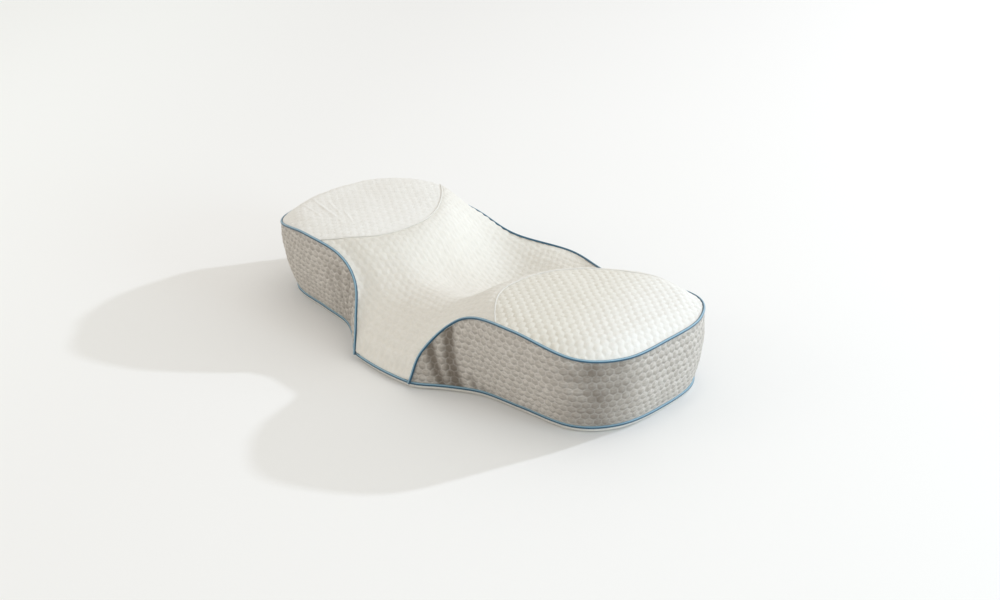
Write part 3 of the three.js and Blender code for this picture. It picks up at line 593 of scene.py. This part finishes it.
def piping_cloth():
    """Satin bias tape: fine ribs slanting round the cord, with a painted highlight along its upper side."""
    s = Shader("piping_blue_satin", 0.48, Sheen_Weight=0.25, Sheen_Roughness=0.4, Specular_IOR_Level=0.5)
    uv = s.fabric()
    parts = s.node("ShaderNodeSeparateXYZ", {0: uv})
    turn = parts.outputs[1]
    slant = s.math("ADD", s.math("MULTIPLY", parts.outputs[0], 13.0), s.math("MULTIPLY", turn, 4.0))
    rib = s.half_waves(slant)
    patchy = s.noise(s.place(), 60.0, 3.0)
    blend = s.math("ADD", s.math("MULTIPLY", rib, 0.3), s.math("MULTIPLY", patchy, 0.6))
    colour = s.mix(blend, (0.008, 0.055, 0.105), (0.018, 0.115, 0.20))
    # painted highlight: a pale band along the cord's upper side, where the key light catches the satin
    upper = s.ramp(s.math("ABSOLUTE", s.math("SUBTRACT", turn, 0.67)), 0.05, 0.13, 0.6, 0.0)
    colour = s.mix(upper, colour, (0.44, 0.68, 0.82))
    return s.finish(colour, rib, 0.00015)


def foam_material():
    s = Shader("foam_open_cell", 0.95, Specular_IOR_Level=0.2, Subsurface_Weight=0.1)
    place = s.place()
    pores = s.node("ShaderNodeTexVoronoi", {"Vector": place, "Scale": 900.0}).outputs["Distance"]
    patchy = s.noise(place, 14.0, 4.0)
    colour = s.mix(patchy, (0.90, 0.83, 0.66), (0.82, 0.73, 0.53))
    return s.finish(colour, pores, 0.0004)


def zip_tape_material():
    s = Shader("zip_tape_woven", 0.85, Specular_IOR_Level=0.25)
    uv = s.fabric()
    parts = s.node("ShaderNodeSeparateXYZ", {0: uv})
    rib = s.half_waves(s.math("MULTIPLY", parts.outputs[1], 12.0))
    pick = s.half_waves(s.math("MULTIPLY", parts.outputs[0], 18.0))
    patchy = s.noise(uv, 2.0, 3.0)
    colour = s.mix(s.math("MULTIPLY", patchy, 0.6), (0.82, 0.80, 0.75), (0.70, 0.68, 0.63))
    return s.finish(colour, s.math("MULTIPLY", rib, pick), 0.0002)


def coil_material():
    s = Shader("zip_coil_nylon", 0.38, Specular_IOR_Level=0.5, Subsurface_Weight=0.08)
    patchy = s.noise(s.place(), 300.0, 2.0)
    return s.finish(s.mix(patchy, (0.80, 0.79, 0.75), (0.70, 0.69, 0.66)), patchy, 0.00005)


def metal_material():
    s = Shader("zip_satin_nickel", 0.32, Metallic=1.0)
    place = s.place()
    streaks = s.node("ShaderNodeMapping", {"Vector": place, "Scale": (60, 900, 900)}).outputs[0]
    brushed = s.noise(streaks, 3.0, 3.0)
    worn = s.noise(place, 250.0, 3.0)
    colour = s.mix(worn, (0.62, 0.63, 0.65), (0.48, 0.49, 0.51))
    s.tree.links.new(s.ramp(brushed, 0.3, 0.7, 0.25, 0.45), s.surface.inputs["Roughness"])
    return s.finish(colour, brushed, 0.00003)


# hollow is the dark colour that the painted shade (shade attribute and bubbles' lower sides) mixes towards; the
# yarn's marks take it too
PAD_KNIT = quilted_knit(
    "pad_bubble_knit",
    thread=(0.87, 0.86, 0.825),
    groove=(0.83, 0.815, 0.775),
    hollow=(0.745, 0.72, 0.65),
    depth=0.0003,
)
CENTRE_KNIT = quilted_knit(
    "centre_bubble_knit",
    thread=(0.93, 0.908, 0.85),
    groove=(0.87, 0.84, 0.77),
    hollow=(0.66, 0.625, 0.54),
    depth=0.0005,
    underside_shade=0.13,
    grain=0.22,
)
GREY_KNIT = quilted_knit(
    "side_honeycomb_knit",
    thread=(0.82, 0.775, 0.715),
    groove=(0.87, 0.84, 0.795),
    hollow=(0.15, 0.12, 0.09),
    depth=0.0006,
    tone=(0.63, 0.58, 0.52),
    line_strength=0.5,
    underside_shade=0.42,
    grain=0.3,
)
BOTTOM_KNIT = plain_knit("underside_plain_knit", (0.84, 0.82, 0.77), (0.78, 0.755, 0.70))
LINER_KNIT = plain_knit("liner_fine_knit", (0.90, 0.89, 0.86), (0.84, 0.83, 0.79), 0.00015)
SEAM_KNIT = plain_knit("seam_knit", (0.85, 0.835, 0.79), (0.80, 0.78, 0.73), 0.0002)
PIPING = piping_cloth()
FOAM = foam_material()
ZIP_TAPE = zip_tape_material()
COIL = coil_material()
METAL = metal_material()


# ------------------------------------------------------------------ camera
CAMERA_TURN = math.radians(46.159)
CAMERA_TILT = math.radians(25.966)
CAMERA_FAR = 1921.9
CAMERA_SHIFT = (19.9, 1.99)  # to the right and up, in the picture's plane
CAMERA_AIM = np.array([0.0, 0.0, 40.0])
SENSOR = 36.0
LENS = 55.0332


def add_camera():
    right = np.array([math.cos(CAMERA_TURN), math.sin(CAMERA_TURN), 0])
    back = np.array(
        [
            math.sin(CAMERA_TURN) * math.cos(CAMERA_TILT),
            -math.cos(CAMERA_TURN) * math.cos(CAMERA_TILT),
            math.sin(CAMERA_TILT),
        ]
    )
    up = np.cross(back, right)
    place = (CAMERA_AIM + CAMERA_FAR * back + CAMERA_SHIFT[0] * right + CAMERA_SHIFT[1] * up) * MM
    data = bpy.data.cameras.new("camera")
    data.sensor_width = SENSOR
    data.lens = LENS
    data.clip_end = 60
    camera = bpy.data.objects.new("camera", data)
    bpy.context.scene.collection.objects.link(camera)
    camera.matrix_world = Matrix(
        [[right[k], up[k], back[k], place[k]] for k in range(3)] + [[0, 0, 0, 1]]
    )
    bpy.context.scene.camera = camera


add_camera()


# ------------------------------------------------------------------ top panels
def pad_corners():
    """Station numbers at which the right pad's inner edge meets the rim, in front and behind."""
    t = np.linspace(0, HALF, 4001)
    p = upper_seam(t)
    beyond = p[:, 0] - pad_edge(p[:, 1]) > 0
    crossing = np.flatnonzero(beyond[1:] != beyond[:-1])
    return t[crossing[0]], t[crossing[-1]]


FRONT_CORNER, BACK_CORNER = pad_corners()


def arc_points(count, side):
    """Inner edge of the pad, from front to back."""
    y0, y1 = upper_seam(FRONT_CORNER)[1], upper_seam(BACK_CORNER)[1]
    y = np.linspace(y0, y1, 400)
    line = resampled(np.stack([pad_edge(y), y], axis=1), count)
    return line * np.array([side, 1.0])


def from_pad_edge(x, y):
    """Distance in plan from the pad's inner edge, positive on the pad."""
    slope = (pad_edge(y + 1) - pad_edge(y - 1)) / 2
    return (np.abs(x) - pad_edge(y)) / np.hypot(1, slope)


def top_relief(x, y, to_rim, a, b, height):
    """Relief of the top's cloth: bubbles, slow drift and the dip at the seam between pad and centre."""
    away = from_pad_edge(x, y)
    fade = smooth_step(to_rim / 5) * smooth_step(np.abs(away) / 3.2)
    drift = DRIFT * waves(x, y, 52, 21) + 0.2 * waves(x, y, 23, 22)
    dip = 0.3 * np.exp(-((away / 2.2) ** 2))
    return height * (cell_dome(a, b) - 0.5) * fade + drift * smooth_step(to_rim / 12) - dip


PAD_CREASES = [
    ((-292, -50), (-176, -88), 2.6, 0.5),
    ((-276, -74), (-200, -94), 2.2, 0.42),
    ((-262, -60), (-164, -88), 2.4, 0.48),
    ((-256, -46), (-182, -76), 2.2, 0.4),
    ((-206, -58), (-144, -84), 2.0, 0.4),
]


def pad_piece(side):
    rows, columns = grid_size(PAD_SPAN, PAD_STEP)
    inner = arc_points(columns, 1)
    rim = resampled(upper_seam(np.linspace(FRONT_CORNER, BACK_CORNER, 1200))[:, :2], columns)
    share = np.linspace(0, 1, rows)[:, None, None]
    plan = (inner[None] * (1 - share) + rim[None] * share)[:, 3:-3]
    x, y = plan[..., 0], plan[..., 1]
    z, to_rim = top_height(x, y)
    sx = side * x
    if side < 0:
        z = z + plump(sx, y, to_rim)
    base = np.stack([sx, y, z], axis=-1)
    a, b = warped(y / 1.1, sx, 11 + side)
    relief = top_relief(sx, y, to_rim, a, b, PAD_BUBBLE[side])
    if side < 0:
        for start, end, width, height in PAD_CREASES:
            relief = relief + ridge(sx, y, start, end, width, height)
    # Painted shade: the right pad is painted darker towards the hollow and the front
    painted_shade = (1 - smooth_step((sx + 0.4 * y - 170) / 110)) * (side > 0)
    if side > 0:
        base, relief, a, b, painted_shade = (grid[:, ::-1] for grid in (base, relief, a, b, painted_shade))
    name = "pad_right" if side > 0 else "pad_left"
    return fabric_shell(name, base, relief, np.stack([a, b], -1), PAD_KNIT, TOP_CLOTH, shade=painted_shade)


def centre_piece():
    rows, columns = grid_size(CENTRE_SPAN, CENTRE_STEP)
    u = np.linspace(-1, 1, columns)
    front_line = upper_seam(np.linspace(0, FRONT_CORNER, 600))
    back_line = upper_seam(np.linspace(BACK_CORNER, HALF, 600))[::-1]
    front_x = np.abs(u) * front_line[-1, 0]
    beyond = np.interp(front_x, front_line[:, 0], front_line[:, 1])
    corner_x = SEAM_STATIONS[0][0][0]
    front_y = np.where(front_x < corner_x, tongue_rim(np.minimum(front_x, corner_x))[:, 1], beyond)
    back_x = np.abs(u) * back_line[-1, 0]
    back_y = np.interp(back_x, back_line[:, 0], back_line[:, 1])
    arc = arc_points(rows, 1)
    v = np.linspace(0, 1, rows)[:, None]
    w = np.abs(u)[None]
    # Blend of the four edges; the corners' bilinear part is taken off once
    x = (1 - v) * front_x + v * back_x + w * (arc[:, :1] - (1 - v) * front_x[-1] - v * back_x[-1])
    y = (1 - v) * front_y + v * back_y + w * (arc[:, 1:] - (1 - v) * front_y[-1] - v * back_y[-1])
    middle = columns // 2
    z, to_rim = top_height(x[:, middle:], y[:, middle:])
    z, to_rim = (np.hstack([q[:, : columns - 2 * middle - 1 : -1], q]) for q in (z, to_rim))
    sx = np.sign(u)[None] * x
    z = z + np.where(sx < 0, plump(sx, y, to_rim), 0)
    base = np.stack([sx, y, z], axis=-1)
    a, b = warped(sx, y, 31, 1.4)
    relief = top_relief(sx, y, to_rim, a, b, CENTRE_BUBBLE)
    # Painted shade: darker on the slope up to the left wing, faintly so over the left half and right of the
    # middle behind
    painted_shade = 0.40 * np.exp(-(((sx + 126) / 46) ** 2) - ((y + 50) / 62) ** 2)
    painted_shade = painted_shade + 0.03 * smooth_step((-sx - 10) / 60)
    painted_shade = painted_shade + 0.10 * np.exp(-(((sx - 45) / 45) ** 2) - ((y - 90) / 40) ** 2)
    fabric = np.stack([a, b], -1)
    return fabric_shell("centre_panel_knit", base, relief, fabric, CENTRE_KNIT, TOP_CLOTH, shade=painted_shade)


def pad_seam_piece(side):
    line = arc_points(330, side)[5:-5]
    z, to_rim = top_height(np.abs(line[:, 0]), line[:, 1])
    if side < 0:
        z = z + plump(line[:, 0], line[:, 1], to_rim)
    z = z + DRIFT * waves(line[:, 0], line[:, 1], 52, 21) * smooth_step(to_rim / 12)
    points = np.stack([line[:, 0], line[:, 1], z + SEAM_LIFT[side]], axis=1)
    name = "pad_seam_right" if side > 0 else "pad_seam_left"
    return tube(name, points, SEAM_RADIUS, SEAM_KNIT, sides=10, squash=0.8)


# ------------------------------------------------------------------ side strip
def outward(line):
    run = np.gradient(line[:, :2], axis=0)
    run /= np.linalg.norm(run, axis=1, keepdims=True)
    return np.stack([run[:, 1], -run[:, 0], np.zeros(len(run))], axis=1)


def side_piece(side):
    rows, columns = grid_size(SIDE_SPAN, SIDE_STEP)
    t = np.linspace(0.02, HALF, 2400)
    middle = (lower_seam(t) + upper_seam(t)) / 2
    along = length_along(middle[:, :2])
    at = np.linspace(0, along[-1], columns)
    t = np.interp(at, along, t)
    low, high = lower_seam(t), upper_seam(t)
    out = outward(high)
    v = np.linspace(0, 1, rows)[:, None]
    height = (high[:, 2] - low[:, 2])[None]
    foot = v * height
    head = (1 - v) * height
    bulge = GUSSET_BULGE * np.sin(math.pi * v) * height / 100
    bulge = bulge - 1.2 * np.exp(-foot / 2.5) - 1.2 * np.exp(-head / 2.5)
    base = low[None] * (1 - v[..., None]) + high[None] * v[..., None] + out[None] * bulge[..., None]
    s = np.broadcast_to(at[None], foot.shape)
    a, b = warped(s, foot, 51 + side)
    fade = smooth_step(foot / 5) * smooth_step(head / 5)
    # the second part is painted shade, in the folds and in slow bands along the strip
    creases, painted_shade = side_folds(s, foot, side)
    relief = SIDE_BUBBLE * (cell_dome(a, b) - 0.5) * fade
    relief = relief + 0.9 * waves(s, foot, 60, 61 + side) * fade + creases * fade
    relief = relief - 1.1 * np.exp(-(((s - along[-1]) / 1.6) ** 2))
    base = base * np.array([side, 1.0, 1.0])
    if side < 0:
        base, relief, a, b, painted_shade = (grid[:, ::-1] for grid in (base, relief, a, b, painted_shade))
    name = "side_strip_right" if side > 0 else "side_strip_left"
    return fabric_shell(name, base, relief, np.stack([a, b], -1), GREY_KNIT, SIDE_CLOTH, shade=painted_shade)


FOLD_RISE = 80  # height over the foot at which a fold's second place is given
SIDE_FOLDS = {
    # (place along the foot, place at FOLD_RISE, half width, depth, height it reaches), all in millimetres
    1: [
        (39, 14, 6, 2.3, 64),
        (55, 47, 7, 3.2, 90),
        (76, 72, 3.5, 1.5, 28),
        (88, 86, 3, 1.0, 18),
        (100, 99, 3, 0.7, 14),
    ],
    -1: [(46, 40, 5, 1.8, 80), (60, 62, 5, 2.0, 90), (76, 84, 6, 1.5, 90), (96, 104, 7, 1.0, 90)],
}
FOLD_SHADE = {1: 0.37, -1: 0.2}  # painted shade per mm of a fold's depth, for its shade and its darker cells
# (place along the strip, half width, strength) of the slow bands of painted shade
SIDE_BANDS = {1: [(246, 38, 0.66), (14, 22, 0.26)], -1: [(70, 34, 0.04)]}


def side_folds(s, foot, side):
    """(creases, painted shade): creases where the strip is gathered beside the tongue, and painted shade in them
    and in slow bands.
    """
    total = np.zeros(s.shape)
    painted_shade = np.zeros(s.shape)
    for low, high, width, depth, reach in SIDE_FOLDS[side]:
        line = low + (high - low) * foot / FOLD_RISE
        q = (s - line) / width
        ends = smooth_step((reach - foot) / 14)
        total -= depth * ends * (np.exp(-q * q) - 0.45 * np.exp(-(((q + 1.7) / 0.9) ** 2)))
        painted_shade += FOLD_SHADE[side] * depth * ends * np.exp(-(q**2) / 1.2)
    for place, width, strength in SIDE_BANDS[side]:
        painted_shade += strength * np.exp(-(((s - place) / width) ** 2)) * (0.85 + 0.3 * waves(s, foot, 30, 71))
    return total, np.clip(painted_shade, 0, 0.85)


# ------------------------------------------------------------------ piping
def upper_piping_piece():
    line = resampled(upper_seam(np.linspace(0.0, 2 * HALF, 3000)), 1000)
    start = (line[0] - line[6]) * 0.35
    end = (line[-1] - line[-7]) * 0.35
    line = np.vstack([line[0] + start, line, line[-1] + end])
    return tube("piping_upper", line, PIPING_RADIUS, PIPING, sides=PIPING_SIDES)


def lower_piping_piece():
    seam = lower_seam(np.linspace(0, 2 * HALF, 3000))
    line = resampled(np.vstack([seam, foot_front(), seam[:1]]), 1000)[:-1]
    return tube("piping_lower", line, PIPING_RADIUS, PIPING, sides=PIPING_SIDES, closed=True)


# ------------------------------------------------------------------ underside
def underside_piece(front):
    t = np.linspace(0, HALF, 4001)
    cross = t[np.flatnonzero(lower_seam(t)[:, 1] > ZIP_Y)[0]]
    if front:
        left = lower_seam(np.linspace(2 * HALF - cross, 2 * HALF, 700))
        right = lower_seam(np.linspace(0, cross, 700))
        rim = np.vstack([left, foot_front(), right])
    else:
        rim = lower_seam(np.linspace(cross, 2 * HALF - cross, 1200))
    columns, flat_rows = 560, 60
    rim = resampled(rim, columns)
    out = outward(rim)
    rows = [rim - out * inset + np.array([0, 0, height - SEAM_HEIGHT]) for inset, height in UNDER_ROLL]
    flat = rows[-1]
    toward = -1 if front else 1
    ends = np.clip(flat[:, 0], -SPLIT_REACH, SPLIT_REACH)
    target = np.stack([ends, np.full(columns, ZIP_Y + toward * SPLIT_GAP), np.zeros(columns)], axis=1)
    slot = np.abs(ends) < SLOT_REACH
    target[slot, 1] = ZIP_Y + toward * SLOT_HALF
    rows += [flat * (1 - share) + target * share for share in np.linspace(0, 1, flat_rows)[1:]]
    base = np.array(rows)[:, ::-1]
    a, b = base[..., 0], base[..., 1]
    ripple = np.clip(waves(a, b, 40, 81), -1, 1)
    relief = 0.4 * ripple * smooth_step((base[..., 2] - 1.5) / 3) - 0.1 * (1 + ripple)
    name = "underside_front" if front else "underside_back"
    piece = fabric_shell(name, base, relief, np.stack([a, b], -1), BOTTOM_KNIT, UNDER_CLOTH, coarse=2)
    place = np.empty(len(piece.data.vertices) * 3, np.float32)
    piece.data.vertices.foreach_get("co", place)
    place[2::3] = np.maximum(place[2::3], 0)
    piece.data.vertices.foreach_set("co", place)
    piece.data.update()
    return piece


# ------------------------------------------------------------------ pieces inside and the zip
def tucked(place, normal, depth):
    """Holds points at least depth (mm) under the cover's top, and those of an inner face a little deeper."""
    q = place / MM
    upward = np.abs(normal[:, 2])
    held = (q[:, 2] > 25) & (upward > 0.25)
    top, to_rim = top_height(np.abs(q[held, 0]), q[held, 1])
    deeper = depth + 0.8 * (normal[held, 2] < 0)
    ceiling = top - deeper / np.clip(upward[held], 0.5, 1)
    q[held, 2] = np.where(to_rim > 4, np.minimum(q[held, 2], ceiling), q[held, 2])
    return q * MM


def refined(name, node, material, levels=0, voxel=0.0, ripple=0.0, seed=1, under=0.0):
    """A finer copy of a CAD node's surface, softly rippled, with fabric coordinates laid from above."""
    source = bpy.data.objects[node]
    mesh = source.data.copy()
    mesh.transform(source.matrix_world)
    mesh.materials.clear()
    piece = bpy.data.objects.new(name, mesh)
    bpy.context.scene.collection.objects.link(piece)
    bpy.context.view_layer.objects.active = piece
    for other in bpy.context.selected_objects:
        other.select_set(False)
    piece.select_set(True)
    weld = piece.modifiers.new("weld", "WELD")
    weld.merge_threshold = 0.00002
    bpy.ops.object.modifier_apply(modifier="weld")
    if voxel:
        remesh = piece.modifiers.new("remesh", "REMESH")
        remesh.mode = "VOXEL"
        remesh.voxel_size = voxel
        bpy.ops.object.modifier_apply(modifier="remesh")
        smooth = piece.modifiers.new("smooth", "SMOOTH")
        smooth.factor, smooth.iterations = 0.5, 3
        bpy.ops.object.modifier_apply(modifier="smooth")
    if levels:
        finer = piece.modifiers.new("finer", "SUBSURF")
        finer.subdivision_type = "SIMPLE"
        finer.levels = levels
        bpy.ops.object.modifier_apply(modifier="finer")
    mesh = piece.data
    count = len(mesh.vertices)
    place = np.empty(count * 3, np.float32)
    mesh.vertices.foreach_get("co", place)
    place = place.reshape(-1, 3).astype(float)
    if ripple:
        normal = np.empty(count * 3, np.float32)
        mesh.vertex_normals.foreach_get("vector", normal)
        q = place / MM
        bump = waves(q[:, 0] + 0.7 * q[:, 2], q[:, 1] - 0.6 * q[:, 2], 26, seed)
        place = place + normal.reshape(-1, 3) * (bump * ripple * MM)[:, None]
        if under:
            place = tucked(place, normal.reshape(-1, 3).astype(float), under)
        mesh.vertices.foreach_set("co", place.astype(np.float32).ravel())
    loops = np.empty(len(mesh.loops), np.int32)
    mesh.loops.foreach_get("vertex_index", loops)
    while mesh.uv_layers:
        mesh.uv_layers.remove(mesh.uv_layers[0])
    layer = mesh.uv_layers.new(name="fabric")
    layer.data.foreach_set("uv", (place[loops, :2] * 100).astype(np.float32).ravel())
    mesh.polygons.foreach_set("use_smooth", np.ones(len(mesh.polygons), bool))
    mesh.materials.append(material)
    mesh.update()
    return piece


def coil_piece(name, node, lean):
    """Nylon coil: one monofilament wound along the tape, flattened, with its heads towards the other coil."""
    low, high = (np.array(c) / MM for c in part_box(node))
    wire = 0.38
    pitch = 1.5
    turns = int((high[0] - low[0] - 2 * wire) / pitch)
    steps = 14
    t = np.linspace(0, turns * 2 * math.pi, turns * steps + 1)
    middle = (low + high) / 2
    half = (high - low) / 2 - wire - 0.02
    line = np.stack(
        [
            low[0] + wire + pitch * t / (2 * math.pi) + 0.25 * np.sin(t),
            middle[1] + half[1] * lean * np.cos(t),
            middle[2] + half[2] * np.sin(t),
        ],
        axis=1,
    )
    return tube(name, line, wire, COIL, sides=6)


def plated(node, material):
    """Gives a hard CAD node a better material by its object's slots."""
    for slot in bpy.data.objects[node].material_slots:
        slot.link = "OBJECT"
        slot.material = material


# ------------------------------------------------------------------ build it
def settle(piece, slot, *nodes):
    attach(piece, "pillow")
    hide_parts(*nodes)
    return piece


def liner_piece(name, node, seed, under=0.0):
    piece = refined(name, node, LINER_KNIT, levels=2, ripple=0.12, seed=seed, under=under)
    return settle(piece, "liner", node)


foam = refined("core_foam", "foam_core", FOAM, voxel=0.005, ripple=0.3, under=FOAM_UNDER)
core = settle(foam, "foam", "foam_core")
liner_top = liner_piece("liner_upper", "liner_top", 2, LINER_UNDER)
liner_low = liner_piece("liner_lower", "liner_bottom", 3)


covers = [settle(centre_piece(), "whiteKnit", "centre_panel")]
for word, side in (("left", -1), ("right", 1)):
    covers.append(settle(pad_piece(side), "padKnit", f"{word}_wing_panel"))
    settle(pad_seam_piece(side), "whiteKnit", f"{word}_pad_seam")
    covers.append(settle(side_piece(side), "greyKnit", f"{word}_gusset"))
covers.append(settle(underside_piece(True), "bottomKnit", "bottom_panel_front"))
covers.append(settle(underside_piece(False), "bottomKnit", "bottom_panel_back"))
settle(upper_piping_piece(), "bluePiping", "upper_piping")
settle(lower_piping_piece(), "bluePiping", "lower_piping")

for word, lean in (("front", 1), ("back", -1)):
    tape = refined(f"zip_tape_{word}_woven", f"zip_tape_{word}", ZIP_TAPE, levels=3, ripple=0.05, seed=5)
    settle(tape, "zipTape", f"zip_tape_{word}")
    settle(coil_piece(f"zip_coil_{word}_wound", f"zip_coil_{word}", lean), "zipCoil", f"zip_coil_{word}")
for node in ("zip_slider", "zip_pull_tab", "zip_stop_closed", "zip_stop_open"):
    plated(node, METAL)


# ------------------------------------------------------------------ stage and light
def add_floor():
    """Pale studio floor with painted light: a little lighter towards the left front, where the lamps light it
    less.
    """
    s = Shader("studio_floor", 0.75, Specular_IOR_Level=0.15)
    mottled = s.noise(s.place(), 1.5, 2.0)
    pale = s.mix(mottled, (0.855, 0.855, 0.85), (0.865, 0.865, 0.86))
    # painted light: the floor's colour grows lighter towards the left front
    away = s.vector("DOT_PRODUCT", s.place(), (-0.8, -0.6, 0.0), output=1)
    floor_material = s.finish(s.mix(s.ramp(away, 0.3, 1.1), pale, (0.94, 0.955, 0.95)))
    size = 12000.0
    corners = np.array([[-size, -size, 0], [size, -size, 0], [size, size, 0], [-size, size, 0]])
    floor = mesh_object("floor", corners, [np.array([[0, 1, 2, 3]])], floor_material)


def add_lamp(name, place, size, power, colour):
    data = bpy.data.lights.new(name, "AREA")
    data.shape = "DISK"
    data.size = size
    data.energy = power
    data.color = colour
    lamp = bpy.data.objects.new(name, data)
    bpy.context.scene.collection.objects.link(lamp)
    lamp.location = place
    lamp.rotation_euler = (Vector(place) - Vector((0, 0, 0.05))).to_track_quat("Z", "Y").to_euler()


def add_light():
    world = bpy.data.worlds.new("studio")
    bpy.context.scene.world = world
    world.use_nodes = True
    world.node_tree.nodes["Background"].inputs["Color"].default_value = (1.0, 0.975, 0.925, 1)
    world.node_tree.nodes["Background"].inputs["Strength"].default_value = 0.77
    add_lamp("key", (1.42, 3.44, 1.65), 0.13, 76.0, (0.82, 0.89, 1.0))
    add_lamp("softbox", (0.5, 0.5, 2.6), 1.8, 7.0, (1.0, 0.975, 0.92))
    add_lamp("side_fill", (2.7, 0.7, 0.7), 1.4, 23.0, (0.62, 0.84, 1.0))
    add_lamp("front_fill", (-1.4, -2.6, 1.2), 2.0, 9.0, (1.0, 0.93, 0.84))


add_floor()
add_light()
bpy.context.scene.view_settings.view_transform = "Standard"
